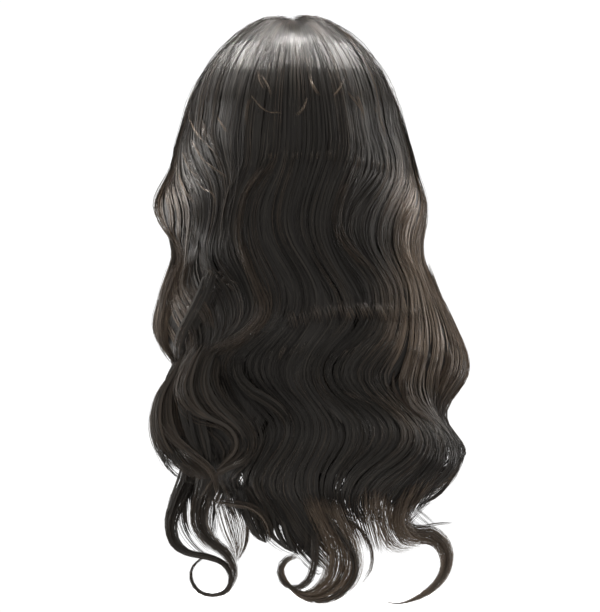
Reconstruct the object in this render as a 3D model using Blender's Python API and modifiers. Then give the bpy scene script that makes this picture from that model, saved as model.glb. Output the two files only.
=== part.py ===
"""Lace front wig, 24 inch body wave, modelled as it sits on a head.

Metres, +Z up. The origin is the top of the head, on the inside of the cap. The wearer looks along +Y,
so the hair falls behind, towards -Y, and +X is to the right of someone who stands behind the wig.

The cap is pieces that are sewn edge to edge: the stretch net, the lace front, the nape band and two ear
tabs. The hair is seven sections, each from its roots at the parting to its own curled end, and
the short under layer that grows on the nape band.
"""

import math

import bmesh
import bpy
import numpy as np
from mathutils import Vector

# The head that the cap fits, a medium one of 57 cm round.
HEAD_WIDTH = 0.158
HEAD_LENGTH = 0.200
CROWN_HEIGHT = 0.095  # top of the head down to its widest level
NAPE_DROP = 0.165  # top of the head down to the cap's lowest edge
NAPE_TAPER = 0.22  # share of the girth that is lost between the widest level and the nape

# The cap's edge and walls.
HAIRLINE_DROP = 0.058  # top of the head down to the middle of the front edge
EAR_DROP = 0.112  # top of the head down to the cap's edge over the ear
BAND_HEIGHT = 0.022
TAB_HEIGHT = 0.026
NET_WALL = 0.0015
LACE_WALL = 0.0010
BAND_WALL = 0.0020
SEAM_GAP = 0.0004  # between pieces that are sewn edge to edge

# The hair on the head.
TOP_LIFT = 0.012  # height of the hair over the top of the head
SIDE_LIFT = 0.031  # depth of the hair over the ears
BACK_LIFT = 0.022  # depth of the hair at the back of the head
FRONT_LIFT = 0.011  # depth of the hair at its front edge, beside the face
PART_DIP = 0.005  # how far the hair dips into the parting
PART_GAP = 0.0012
WHORL_WIDTH = 0.006  # the middle section, at its roots
HAIR_CLEARANCE = 0.0022  # between the cap and the hair on it
SECTION_GAP = 0.0009  # between one section of hair and the next

# The hair that hangs.
HAIR_DROP = 0.580  # top of the head down to the lowest curl
LEFT_REACH = 0.131
RIGHT_REACH = 0.162
BACK_REACH = 0.124
BACK_SWAY = 0.010
FALL_DEPTH = 0.078  # from the back of the fall forward to its side edges
FALL_THICKNESS = 0.024
UNDER_THICKNESS = 0.020
UNDER_GAP = 0.0015  # between the sections and the layer under them
WAVE_SWING = 0.016  # sideways swing of a wave
WAVE_DEPTH = 0.007  # in and out swing of a wave
RIDGE_HEIGHT = 0.0030  # locks that stand proud of a section
CURL_RADIUS = 0.020
CURL_WIDTH = 0.024
CURL_THICKNESS = 0.013
TIP_WIDTH = 0.003

# Angles are in degrees round the head from the middle of the back, positive to +X.
SEAM_ANGLE = 90
BAND_ANGLE = 63
TAB_ANGLES = (94, 112)
UNDER_ANGLE = 55  # half of the layer under the sections
FRONT_ANGLE = 125  # where the hair ends, beside the face
EDGE_ANGLE = 92  # where that edge hangs once it is gathered behind the shoulders
FRONT_THINNING = 28  # how far behind that edge the hair begins to thin
MIDDLE_ANGLE = 24  # half of the middle section
SIDE_ANGLE = 58  # between the back and side sections
TEMPLE_ANGLE = 92  # between the side and temple sections
PART_BACK = -12  # tilt of the parting's ends from the top of the head, positive to the front
PART_FRONT = 59

# Shares.
EDGE_BODY_SHARE = 0.6  # the fall at its side edges
EDGE_WAVE_SHARE = 0.4  # a wave's in and out swing at the side edges
SIDE_FULLNESS = 1.5  # how late the hair on the head takes its full depth, as a power
DIP_SHARE = 0.2  # of the way down from the parting to the head's widest level
WHORL_SHARE = 0.12  # of the way along the parting, over which the whorl narrows to it
TAPER_SHARE = 0.17  # of the fall, over which a section draws in above its curl
DRAW_SHARES = (0.13, 0.10, 0.15)  # what it draws in from each side, from its outer and from its inner face
CURL_EDGE_SHARE = 0.3  # a curl's thickness at its edges
TAB_CORNER_SHARE = 0.25  # square of an ear tab's height at its front and back
UNDER_END_SHARE = 0.84  # level of the under layer's end
UNDER_DRAW_SHARES = (0.55, 0.60, 0.75)  # where it begins to draw in, and what its width and thickness lose
UNDER_EDGE_SHARE = 0.4  # square of its thickness at its side edges
UNDER_FREE_SHARE = 0.12  # of the fall, over which it leaves the cap

# The cap's edge: angle from the back, and its drop as a share of the way from the ear's drop to another.
EDGE_ROWS = (
    # angle, the other drop, share
    (0, "nape", 1.00),
    (35, "nape", 0.88),
    (60, "nape", 0.38),
    (82, "nape", 0.00),
    (104, "nape", 0.06),
    (125, "hairline", 0.12),
    (140, "hairline", 0.48),
    (158, "hairline", 0.85),
    (180, "hairline", 1.00),
)

# The fall, by level: 0 is the head's widest level and 1 the lowest curl.
FALL_ROWS = (
    # level, left flare, right flare, gather, sway at the back, thickness
    (0.000, 0.00, 0.00, 0.00, 0.00, 1.00),
    (0.083, 0.55, 0.22, 0.14, 0.20, 1.00),
    (0.165, 0.86, 0.40, 0.38, 0.00, 1.05),
    (0.268, 0.93, 0.58, 0.76, -0.60, 1.05),
    (0.360, 0.96, 0.86, 0.96, -0.60, 1.02),
    (0.423, 1.00, 0.98, 1.00, -0.40, 1.00),
    (0.526, 1.00, 1.07, 1.00, 0.20, 0.95),
    (0.629, 1.03, 1.05, 1.00, 0.50, 0.90),
    (0.732, 0.72, 0.98, 1.00, 0.40, 0.80),
    (0.860, 0.50, 0.60, 1.00, 0.10, 0.60),
    (1.000, 0.40, 0.50, 1.00, 0.00, 0.50),
)

# The waves. Each row is a turn, to -X and +X by turns: its level at the left edge, in the middle and at
# the right edge, and its swing there as shares of WAVE_SWING.
WAVE_ROWS = (
    (0.050, 0.090, 0.130, 0.00, 0.00, 0.00),
    (0.165, 0.241, 0.290, 0.60, 0.85, 0.45),
    (0.274, 0.406, 0.505, 0.60, 1.10, 0.60),
    (0.423, 0.526, 0.610, 0.60, 1.10, 0.65),
    (0.509, 0.635, 0.700, 0.60, 0.95, 0.75),
    (0.629, 0.742, 0.835, 0.75, 0.90, 1.20),
    (0.726, 0.845, 0.907, 1.00, 0.80, 1.00),
    (0.835, 0.938, 1.000, 0.90, 0.70, 0.80),
)

# The curls. Each row is a point of the curl's middle line, from the end of its section: across to +X,
# down and back towards -Y as shares of CURL_RADIUS, then the width as a share of CURL_WIDTH.
LEFT_RING = (
    (0.35, 1.2, 0.0, 1.60),
    (0.45, 2.3, 0.0, 1.80),
    (0.50, 3.4, 0.0, 1.70),
    (1.05, 4.4, 0.0, 1.20),
    (2.00, 5.1, 0.0, 0.75),
    (2.55, 5.9, 0.0, 0.45),
    (2.25, 6.6, 0.1, 0.34),
    (1.45, 6.8, 0.2, 0.28),
    (0.75, 6.4, 0.3, 0.22),
    (0.80, 5.6, 0.4, 0.18),
)
LEFT_BALL = (
    (-0.50, 1.1, 0.7, 1.35),
    (0.05, 2.0, 1.5, 1.25),
    (1.25, 2.3, 1.9, 1.10),
    (2.25, 1.9, 2.1, 0.90),
    (2.70, 1.1, 2.1, 0.65),
    (2.20, 0.5, 2.1, 0.45),
)
LEFT_HOOK = (
    (0.20, 0.7, 0.2, 1.10),
    (0.60, 1.4, 0.2, 0.85),
    (1.15, 1.2, 0.2, 0.45),
)
MIDDLE_HOOK = (
    (0.55, 1.0, 0.0, 1.90),
    (1.25, 1.9, 0.0, 1.70),
    (1.90, 2.8, 0.0, 1.50),
    (1.65, 3.7, 0.0, 1.30),
    (0.80, 4.1, 0.0, 1.00),
    (-0.05, 3.7, 0.0, 0.70),
    (-0.50, 3.0, 0.1, 0.50),
    (-0.15, 2.4, 0.3, 0.35),
    (0.35, 2.7, 0.5, 0.22),
)
RIGHT_SWEEP = (
    (0.50, 0.9, 0.1, 1.50),
    (0.90, 1.8, 0.1, 0.90),
    (0.60, 2.7, 0.1, 0.40),
)
RIGHT_TUCK = (
    (-0.50, 0.9, 0.0, 1.60),
    (-1.20, 1.8, 0.1, 1.20),
    (-1.30, 2.7, 0.1, 0.80),
    (-0.90, 3.3, 0.1, 0.40),
)
RIGHT_HOOK = (
    (-0.40, 0.9, -0.2, 1.30),
    (-1.30, 1.7, -0.3, 1.20),
    (-2.30, 2.4, -0.3, 1.05),
    (-2.45, 3.1, -0.3, 0.90),
    (-1.65, 3.8, -0.3, 0.80),
    (-0.85, 4.5, -0.3, 0.70),
    (-0.60, 5.4, -0.3, 0.58),
    (-0.95, 6.3, -0.3, 0.46),
    (-1.80, 6.9, -0.3, 0.34),
    (-2.90, 7.3, -0.3, 0.22),
)

# The sections of hair, from -X to +X: name, first and last angle, the level where the curl begins, curl.
SECTIONS = (
    ("left_temple_hair", -FRONT_ANGLE, -TEMPLE_ANGLE, 0.700, LEFT_RING),
    ("left_side_hair", -TEMPLE_ANGLE, -SIDE_ANGLE, 0.630, LEFT_BALL),
    ("back_left_hair", -SIDE_ANGLE, -MIDDLE_ANGLE, 0.790, LEFT_HOOK),
    ("back_middle_hair", -MIDDLE_ANGLE, MIDDLE_ANGLE, 0.800, MIDDLE_HOOK),
    ("back_right_hair", MIDDLE_ANGLE, SIDE_ANGLE, 0.790, RIGHT_SWEEP),
    ("right_side_hair", SIDE_ANGLE, TEMPLE_ANGLE, 0.760, RIGHT_TUCK),
    ("right_temple_hair", TEMPLE_ANGLE, FRONT_ANGLE, 0.690, RIGHT_HOOK),
)

# How finely the solids are cut.
DOME_STEPS = 7
FALL_STEPS = 40
CURL_STEP = 0.010
OUTER_POINTS = 7
INNER_POINTS = 4
UNDER_POINTS = 7
UNDER_STEPS = 28
RIDGES = 2  # locks that stand proud across a section
SHARP_ANGLE = 40

HALF_WIDTH = HEAD_WIDTH / 2
HALF_LENGTH = HEAD_LENGTH / 2
FALL_LENGTH = HAIR_DROP - CROWN_HEIGHT
SKIN = NET_WALL + HAIR_CLEARANCE  # from the head to the hair's inner face


def eased(levels, values, at):
    """The value at a level, on a smooth curve through the rows of a table."""
    at = min(max(at, levels[0]), levels[-1])
    last = len(levels) - 1
    i = max(k for k in range(last) if levels[k] <= at)

    def slope(k):
        low, high = max(k - 1, 0), min(k + 1, last)
        return (values[high] - values[low]) / (levels[high] - levels[low])

    step = levels[i + 1] - levels[i]
    t = (at - levels[i]) / step
    start = (1 + 2 * t) * (1 - t) ** 2 * values[i] + t * (1 - t) ** 2 * step * slope(i)
    end = t * t * (3 - 2 * t) * values[i + 1] + t * t * (t - 1) * step * slope(i + 1)
    return start + end


def smooth(t):
    """0 to 1 with level ends."""
    t = min(max(t, 0.0), 1.0)
    return t * t * (3 - 2 * t)


def column(rows, index):
    return [row[index] for row in rows]


def across(left, middle, right, side):
    """A value at side -1 to 1 from its values at the left edge, in the middle and at the right edge."""
    return middle + (right - middle) * side if side > 0 else middle + (middle - left) * side


def head_share(drop):
    """The head's girth at a drop from its top, as a share of its widest."""
    if drop <= CROWN_HEIGHT:
        return math.sqrt(max(0.0, 1 - (1 - drop / CROWN_HEIGHT) ** 2))
    return 1 - NAPE_TAPER * ((drop - CROWN_HEIGHT) / (NAPE_DROP - CROWN_HEIGHT)) ** 2


def head_point(angle, drop, offset):
    """A point round the head at a drop, moved out from it by an offset."""
    turn = math.radians(angle)
    if drop < CROWN_HEIGHT:
        rise = 1 - drop / CROWN_HEIGHT
        share = math.sqrt(1 - rise * rise)
        z = (CROWN_HEIGHT + offset) * rise - CROWN_HEIGHT
        wide, long = (HALF_WIDTH + offset) * share, (HALF_LENGTH + offset) * share
    else:
        z = -drop
        wide = HALF_WIDTH * head_share(drop) + offset
        long = HALF_LENGTH * head_share(drop) + offset
    return np.array((wide * math.sin(turn), -long * math.cos(turn), z))


def edge_drop(angle):
    """How far the cap's edge lies below the top of the head."""
    ends = {"nape": NAPE_DROP, "hairline": HAIRLINE_DROP}
    drops = [EAR_DROP + (ends[end] - EAR_DROP) * share for _, end, share in EDGE_ROWS]
    return eased(column(EDGE_ROWS, 0), drops, abs(angle))


def wave(level, side):
    """(sideways, outward) displacement of the hair at a level of the fall."""
    turns = [across(*row[:3], side) for row in WAVE_ROWS]
    swings = [across(*row[3:], side) for row in WAVE_ROWS]
    phase = eased(turns, list(range(len(turns))), level)
    swing = eased(turns, swings, level)
    sideways = WAVE_SWING * swing * math.cos(math.pi * phase)
    outward = WAVE_DEPTH * swing * math.sin(math.pi * phase) * (1 + (EDGE_WAVE_SHARE - 1) * side * side)
    return sideways, outward


def ear_lift(angle):
    """Depth of the hair at the head's widest level. It thins towards its edge beside the face."""
    lift = BACK_LIFT + (SIDE_LIFT - BACK_LIFT) * math.sin(math.radians(angle)) ** 2
    return lift + (FRONT_LIFT - lift) * edge_share(angle)


def edge_share(angle):
    """0 over most of the hair, rising to 1 at its edge beside the face."""
    return smooth(1 - (FRONT_ANGLE - abs(angle)) / FRONT_THINNING)


def root_direction(angle):
    """Where a strand starts, as a direction from the middle of the head in the head's own scale."""
    past = max(0.0, abs(angle) - MIDDLE_ANGLE) / (FRONT_ANGLE - MIDDLE_ANGLE)
    tilt = math.radians(PART_BACK + (PART_FRONT - PART_BACK) * past)
    side = math.copysign(1, angle) if abs(angle) > MIDDLE_ANGLE else angle / MIDDLE_ANGLE
    x = side * (WHORL_WIDTH + (PART_GAP - WHORL_WIDTH) * smooth(past / WHORL_SHARE)) / HEAD_WIDTH
    direction = np.array((x, math.sin(tilt), math.cos(tilt)))
    return direction / np.linalg.norm(direction)


def dome_point(angle, share, depth):
    """The hair over the head, from its roots at share 0 to the head's widest level at share 1."""
    turn = math.radians(angle)
    root = root_direction(angle)
    foot = np.array((math.sin(turn), -math.cos(turn), 0.0))
    arc = math.acos(float(np.clip(root @ foot, -1, 1)))
    way = (math.sin((1 - share) * arc) * root + math.sin(share * arc) * foot) / math.sin(arc)
    lift = TOP_LIFT - PART_DIP * (1 - smooth(share / DIP_SHARE))
    side_lift = lift + (ear_lift(angle) - TOP_LIFT) * share**SIDE_FULLNESS
    outer = np.array((HALF_WIDTH + side_lift, HALF_LENGTH + side_lift, CROWN_HEIGHT + lift)) * way
    inner = np.array((HALF_WIDTH + SKIN, HALF_LENGTH + SKIN, CROWN_HEIGHT + SKIN)) * way
    return outer + (inner - outer) * depth - np.array((0, 0, CROWN_HEIGHT))


def fall_point(angle, level, depth):
    """The hair below the head's widest level, level 0 to 1, from the outer face at depth 0."""
    levels = column(FALL_ROWS, 0)
    flare = eased(levels, column(FALL_ROWS, 2 if angle > 0 else 1), level)
    gather = eased(levels, column(FALL_ROWS, 3), level)
    sway = eased(levels, column(FALL_ROWS, 4), level)
    body = eased(levels, column(FALL_ROWS, 5), level)
    # The side edges come from beside the face to behind the shoulders as the hair gathers.
    turn = math.radians(angle * (1 + (EDGE_ANGLE / FRONT_ANGLE - 1) * gather))
    wide, long = HALF_WIDTH + ear_lift(angle), HALF_LENGTH + ear_lift(angle)
    reach = wide + ((RIGHT_REACH if angle > 0 else LEFT_REACH) - wide) * flare
    back = long + (BACK_REACH - long) * gather + BACK_SWAY * sway
    plan = long + (FALL_DEPTH - long) * gather
    on_head = ear_lift(angle) - SKIN
    hanging = FALL_THICKNESS * (1 + (EDGE_BODY_SHARE - 1) * edge_share(angle))
    thick = (on_head + (hanging - on_head) * gather) * body * depth
    sideways, outward = wave(level, angle / FRONT_ANGLE)
    x = (reach - thick + outward) * math.sin(turn) + sideways
    y = -back + plan - (plan - thick + outward) * math.cos(turn)
    return np.array((x, y, -CROWN_HEIGHT - level * FALL_LENGTH))


def hair_point(angle, station, depth):
    """Stations run from -1 at the roots through 0 at the head's widest level to 1 at the lowest curl."""
    if station < 0:
        return dome_point(angle, station + 1, depth)
    return fall_point(angle, station, depth)


def edge_point(angle, station, depth, way):
    """A point on a section's side, moved half of the gap back from the line that it shares."""
    low, high = hair_point(angle - 1, station, depth), hair_point(angle + 1, station, depth)
    along = (high - low) / np.linalg.norm(high - low)
    return hair_point(angle, station, depth) + way * SECTION_GAP / 2 * along


def section_ring(first, last, station, end):
    """The outline of a section at a station: the outer face from first to last, then the inner one back."""
    draw = smooth((station - end + TAPER_SHARE) / TAPER_SHARE)
    from_side, from_outer, from_inner = (share * draw for share in DRAW_SHARES)
    first, last = first + (last - first) * from_side, last - (last - first) * from_side
    ring = []
    for share in np.linspace(0, 1, OUTER_POINTS):
        angle = first + (last - first) * share
        if share in (0, 1):
            ring.append(edge_point(angle, station, from_outer, 1 - 2 * share))
            continue
        point = hair_point(angle, station, from_outer)
        inward = hair_point(angle, station, 1) - point
        relief = RIDGE_HEIGHT * smooth(station + 1) * math.cos(2 * math.pi * RIDGES * share)
        ring.append(point + relief * inward / np.linalg.norm(inward))
    for share in np.linspace(1, 0, INNER_POINTS):
        angle = first + (last - first) * share
        if share in (0, 1):
            ring.append(edge_point(angle, station, 1 - from_inner, 1 - 2 * share))
        else:
            ring.append(hair_point(angle, station, 1 - from_inner))
    return ring


def curl_path(start, rows):
    """Points, headings and widths along a curl. A heading is an angle from straight down towards +X."""
    knots = [np.array(start)]
    for over, down, back, _ in rows:
        knots.append(knots[0] + np.array((over, -back, -down)) * CURL_RADIUS)
    widths = [rows[0][3], *column(rows, 3)]
    reach = [0.0]
    for low, high in zip(knots, knots[1:]):
        reach.append(reach[-1] + float(np.linalg.norm(high - low)))
    steps = round(reach[-1] / CURL_STEP)
    points = []
    for k in range(steps + 1):
        at = reach[-1] * k / steps
        points.append(np.array([eased(reach, [knot[axis] for knot in knots], at) for axis in range(3)]))
    headings = []
    for k in range(steps + 1):
        flow = points[min(k + 1, steps)] - points[max(k - 1, 0)]
        headings.append(math.atan2(flow[0], -flow[2]))
    return points, headings, [eased(reach, widths, reach[-1] * k / steps) for k in range(steps + 1)]


def curl_ring(centre, heading, width, thickness):
    """The outline of a curl: a flat oval, with as many points as a section's outline, in the same order."""
    side = np.array((math.cos(heading), 0, math.sin(heading)))
    ring = []
    for count, way in ((OUTER_POINTS, -1), (INNER_POINTS, 1)):
        for share in np.linspace(-1, 1, count) * (1 if way < 0 else -1):
            deep = thickness / 2 * (CURL_EDGE_SHARE + (1 - CURL_EDGE_SHARE) * math.sqrt(1 - share * share))
            ring.append(centre + side * share * width / 2 + np.array((0, way * deep, 0)))
    return ring


def loft(name, rings, material):
    """A closed solid through rings of the same number of points, with flat ends."""
    mesh = bmesh.new()
    loops = [[mesh.verts.new(point) for point in ring] for ring in rings]
    count = len(loops[0])
    for low, high in zip(loops, loops[1:]):
        for k in range(count):
            mesh.faces.new((low[k], low[(k + 1) % count], high[(k + 1) % count], high[k]))
    mesh.faces.new(loops[0])
    mesh.faces.new(loops[-1])
    bmesh.ops.triangulate(mesh, faces=mesh.faces[:])
    bmesh.ops.recalc_face_normals(mesh, faces=mesh.faces[:])
    return finish(name, mesh, material)


def finish(name, mesh, material):
    """Makes the named object from a bmesh, with its material."""
    data = bpy.data.meshes.new(name)
    mesh.to_mesh(data)
    mesh.free()
    data.materials.append(material)
    data.shade_smooth()
    data.set_sharp_from_angle(angle=math.radians(SHARP_ANGLE))
    thing = bpy.data.objects.new(name, data)
    parts.objects.link(thing)
    return thing


def finish_of(name, colour, roughness):
    material = bpy.data.materials.new(name)
    material.use_nodes = True
    shader = material.node_tree.nodes["Principled BSDF"]
    shader.inputs["Base Color"].default_value = (*colour, 1)
    shader.inputs["Roughness"].default_value = roughness
    shader.inputs["Metallic"].default_value = 0
    return material


def cap_patch(name, angles, drops, wall, material, rows):
    """A piece of the cap: a grid at these angles between two drops of the angle, given its wall outwards.

    A piece that starts at a drop of 0 has one point for its whole first row.
    """
    mesh = bmesh.new()
    upper, lower = drops
    grid = []
    for row in range(rows + 1):
        line = []
        for angle in angles:
            top, low = upper(angle), lower(angle)
            share = row / rows
            # Over the crown equal steps go by angle from the top, so that the facets stay even.
            share = 1 - math.cos(share * math.pi / 2) if top == 0 else share
            drop = top + (low - top) * share
            if drop == 0 and line:
                line.append(line[0])
            else:
                line.append(mesh.verts.new(head_point(angle, drop, 0)))
        grid.append(line)
    for high, low in zip(grid, grid[1:]):
        for k in range(len(angles) - 1):
            corners = dict.fromkeys((high[k], high[k + 1], low[k + 1], low[k]))
            mesh.faces.new(list(corners))
    bmesh.ops.recalc_face_normals(mesh, faces=mesh.faces[:])
    middle = Vector((0, 0, -CROWN_HEIGHT))
    if sum(face.normal.dot(face.calc_center_median() - middle) for face in mesh.faces) < 0:
        bmesh.ops.reverse_faces(mesh, faces=mesh.faces[:])
    thing = finish(name, mesh, material)
    solid = thing.modifiers.new("wall", "SOLIDIFY")
    solid.thickness = wall
    solid.offset = 1
    solid.use_even_offset = True
    return thing


def hair_section(name, first, last, end, rows, material):
    """A section of hair from its roots at the parting to the tip of its curl.

    All sections are cut at the same stations, so that neighbours stay one gap apart.
    """
    stations = [k / DOME_STEPS - 1 for k in range(DOME_STEPS)]
    stations += [k / FALL_STEPS for k in range(round(end * FALL_STEPS) + 1)]
    rings = [section_ring(first, last, station, end) for station in stations]
    centre = np.mean(rings[-1], axis=0)
    points, headings, widths = curl_path(centre, rows)
    flat = [point - centre for point in rings[-1]]
    for k in range(1, len(points)):
        way = k / (len(points) - 1)
        wide = max(TIP_WIDTH, CURL_WIDTH * widths[k] * (1 - way**4))
        thick = TIP_WIDTH + (CURL_THICKNESS * min(1.0, widths[k]) - TIP_WIDTH) * (1 - way**3)
        oval = curl_ring(points[k], headings[k], wide, thick)
        blend = smooth(k * CURL_STEP / (2 * CURL_WIDTH))
        rings.append([(points[k] + a) * (1 - blend) + b * blend for a, b in zip(flat, oval)])
    return loft(name, rings, material)


def under_ring(level):
    """The outline of the layer under the sections, between them and the nape."""
    start, width_loss, thickness_loss = UNDER_DRAW_SHARES
    drop = CROWN_HEIGHT + level * FALL_LENGTH
    free = smooth((drop - NAPE_DROP) / (UNDER_FREE_SHARE * FALL_LENGTH))
    draw = smooth((level / UNDER_END_SHARE - start) / (1 - start))
    half = UNDER_ANGLE * (1 - width_loss * draw)
    body = eased(column(FALL_ROWS, 0), column(FALL_ROWS, 5), level) * (1 - thickness_loss * draw)
    # A straight edge between two points on the cap would cut into it, so they stand further out.
    bow = 1 / math.cos(math.radians(half) / (UNDER_POINTS - 1))
    outer, inner = [], []
    for count, ring in ((OUTER_POINTS, outer), (UNDER_POINTS, inner)):
        for share in np.linspace(-1, 1, count):
            face = fall_point(half * share, level, 1)
            inward = face - fall_point(half * share, level, 0)
            inward = inward / np.linalg.norm(inward)
            ring.append(face + inward * (UNDER_GAP + RIDGE_HEIGHT * draw))
            if ring is outer:
                continue
            thick = UNDER_THICKNESS * body * math.sqrt(1 + (UNDER_EDGE_SHARE - 1) * share**2)
            hung = ring[-1] + inward * thick
            on_cap = head_point(half * share, min(drop, NAPE_DROP), BAND_WALL + HAIR_CLEARANCE)
            on_cap = np.array((on_cap[0] * bow, on_cap[1] * bow, face[2]))
            ring[-1] = on_cap + (hung - on_cap) * free
    return outer + inner[::-1]


def crown(_angle):
    return 0.0


def band_top(angle):
    return edge_drop(angle) - BAND_HEIGHT


def net_edge(angle):
    """The net ends above the nape band, and beside it at the cap's edge."""
    return band_top(angle) - SEAM_GAP if abs(angle) <= BAND_ANGLE else edge_drop(angle)


def lace_edge(angle):
    return edge_drop(180 - abs(180 - angle))


def tab_head(angle):
    return edge_drop(angle) + SEAM_GAP


def tab_foot(angle):
    """An ear tab hangs below the lace's edge, with a rounded foot."""
    middle, half = sum(TAB_ANGLES) / 2, (TAB_ANGLES[1] - TAB_ANGLES[0]) / 2
    over = (abs(angle) - middle) / half
    return tab_head(angle) + TAB_HEIGHT * math.sqrt(1 + (TAB_CORNER_SHARE - 1) * over**2)


def build_cap():
    net = finish_of("stretch net", (0.020, 0.017, 0.015), 0.85)
    lace = finish_of("swiss lace", (0.36, 0.22, 0.15), 0.80)
    elastic = finish_of("elastic", (0.012, 0.011, 0.011), 0.70)
    band_angles = np.linspace(-BAND_ANGLE, BAND_ANGLE, 15)
    beside_band = np.linspace(BAND_ANGLE, SEAM_ANGLE, 4)[1:]
    net_angles = [*-beside_band[::-1], *band_angles, *beside_band]
    lace_angles = np.linspace(SEAM_ANGLE, 360 - SEAM_ANGLE, 21)
    cap_patch("cap_net", net_angles, (crown, net_edge), NET_WALL, net, 9)
    front = cap_patch("lace_front", lace_angles, (crown, lace_edge), LACE_WALL, lace, 8)
    front.location.y = SEAM_GAP
    cap_patch("nape_band", band_angles, (band_top, edge_drop), BAND_WALL, elastic, 2)
    for name, way in (("ear_tab_left", -1), ("ear_tab_right", 1)):
        tab_angles = way * np.linspace(*TAB_ANGLES, 6)
        tab = cap_patch(name, tab_angles, (tab_head, tab_foot), BAND_WALL, lace, 2)
        tab.location.y = SEAM_GAP


def build_hair():
    hair = finish_of("dark brown hair", (0.016, 0.012, 0.010), 0.38)
    for name, first, last, end, rows in SECTIONS:
        hair_section(name, first, last, end, rows, hair)
    start = (NAPE_DROP - BAND_HEIGHT - CROWN_HEIGHT) / FALL_LENGTH
    levels = np.linspace(start, UNDER_END_SHARE, UNDER_STEPS + 1)
    loft("nape_hair", [under_ring(level) for level in levels], hair)


for leftover in list(bpy.data.objects):
    bpy.data.objects.remove(leftover)
parts = bpy.data.collections.new("lace_front_wig")
bpy.context.scene.collection.children.link(parts)
build_cap()
build_hair()
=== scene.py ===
"""Looks of the lace front wig: dressed hair, cap and studio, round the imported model.

Metres, +Z up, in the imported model's frame: the origin is the inside of the cap at the top of the head,
the wearer looks along +Y, and +X is to the right of someone who stands behind the wig.

Each section of hair keeps the form of its solid. A lane repeats that form as cuts from the roots to the
curl's tip. A dark backing fills the lane, flat locks lie on it, and fine strands lie over the locks.
"""

import math  # noqa: E402

import bpy  # noqa: E402
import numpy as np  # noqa: E402
from bpy.props import FloatProperty, FloatVectorProperty, IntProperty, PointerProperty  # noqa: E402
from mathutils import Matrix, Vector  # noqa: E402


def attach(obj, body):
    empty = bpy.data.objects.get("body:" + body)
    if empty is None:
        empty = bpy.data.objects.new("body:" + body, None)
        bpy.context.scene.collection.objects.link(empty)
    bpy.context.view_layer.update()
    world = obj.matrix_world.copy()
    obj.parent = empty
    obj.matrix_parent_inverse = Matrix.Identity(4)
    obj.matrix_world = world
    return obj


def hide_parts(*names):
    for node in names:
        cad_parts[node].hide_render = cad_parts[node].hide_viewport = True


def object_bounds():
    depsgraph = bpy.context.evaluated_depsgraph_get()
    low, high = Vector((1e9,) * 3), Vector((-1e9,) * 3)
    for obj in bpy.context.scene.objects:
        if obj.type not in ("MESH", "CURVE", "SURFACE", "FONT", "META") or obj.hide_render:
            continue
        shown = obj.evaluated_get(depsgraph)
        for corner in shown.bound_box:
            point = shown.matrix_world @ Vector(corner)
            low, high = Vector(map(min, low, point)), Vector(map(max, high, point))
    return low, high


bl_info = {
    "name": "Lace Front Wig",
    "version": (1, 0, 0),
    "blender": (4, 5, 0),
    "location": "3D View > Sidebar > Wig",
    "description": "Dresses a long wavy lace front wig and sets up its studio",
    "category": "Object",
}

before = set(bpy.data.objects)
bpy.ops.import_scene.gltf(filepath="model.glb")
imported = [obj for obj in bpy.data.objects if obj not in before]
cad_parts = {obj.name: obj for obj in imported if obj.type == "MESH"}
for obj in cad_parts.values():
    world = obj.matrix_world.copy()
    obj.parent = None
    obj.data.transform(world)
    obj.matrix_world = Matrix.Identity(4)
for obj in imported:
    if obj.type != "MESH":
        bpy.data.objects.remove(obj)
CAD_BOX = [list(corner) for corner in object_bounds()]

# The head and the cap, as in the part.
HEAD_WIDTH = 0.158
HEAD_LENGTH = 0.200
CROWN_HEIGHT = 0.095
NAPE_DROP = 0.165
NAPE_TAPER = 0.22
HAIRLINE_DROP = 0.058
EAR_DROP = 0.112
BAND_HEIGHT = 0.022
NET_WALL = 0.0015
LACE_WALL = 0.0010
BAND_WALL = 0.0020
TAB_HEIGHT = 0.026
TAB_CORNER_SHARE = 0.25
SEAM_GAP = 0.0004
SEAM_ANGLE = 90
BAND_ANGLE = 63
TAB_ANGLES = (94, 112)
HALF_WIDTH = HEAD_WIDTH / 2
HALF_LENGTH = HEAD_LENGTH / 2

# The hair's form, as in the part.
TOP_LIFT = 0.012
SIDE_LIFT = 0.031
BACK_LIFT = 0.022
FRONT_LIFT = 0.011
PART_DIP = 0.005
PART_GAP = 0.0012
WHORL_WIDTH = 0.006
HAIR_CLEARANCE = 0.0022
HAIR_DROP = 0.580
LEFT_REACH = 0.131
RIGHT_REACH = 0.162
BACK_REACH = 0.124
BACK_SWAY = 0.010
FALL_DEPTH = 0.078
FALL_THICKNESS = 0.024
UNDER_THICKNESS = 0.020
UNDER_GAP = 0.0015
WAVE_SWING = 0.016
WAVE_DEPTH = 0.007
CURL_RADIUS = 0.020
CURL_WIDTH = 0.024
CURL_THICKNESS = 0.013
TIP_WIDTH = 0.003
FRONT_ANGLE = 125
EDGE_ANGLE = 92
FRONT_THINNING = 28
MIDDLE_ANGLE = 24
SIDE_ANGLE = 58
TEMPLE_ANGLE = 92
UNDER_ANGLE = 55
PART_BACK = -12
PART_FRONT = 59
EDGE_BODY_SHARE = 0.6
EDGE_WAVE_SHARE = 0.4
SIDE_FULLNESS = 1.5
DIP_SHARE = 0.2
WHORL_SHARE = 0.12
TAPER_SHARE = 0.17
DRAW_SHARES = (0.13, 0.10, 0.15)
CURL_EDGE_SHARE = 0.3
UNDER_END_SHARE = 0.84
UNDER_DRAW_SHARES = (0.55, 0.60, 0.75)
UNDER_EDGE_SHARE = 0.4
UNDER_FREE_SHARE = 0.12
FALL_LENGTH = HAIR_DROP - CROWN_HEIGHT
SKIN = NET_WALL + HAIR_CLEARANCE

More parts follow.
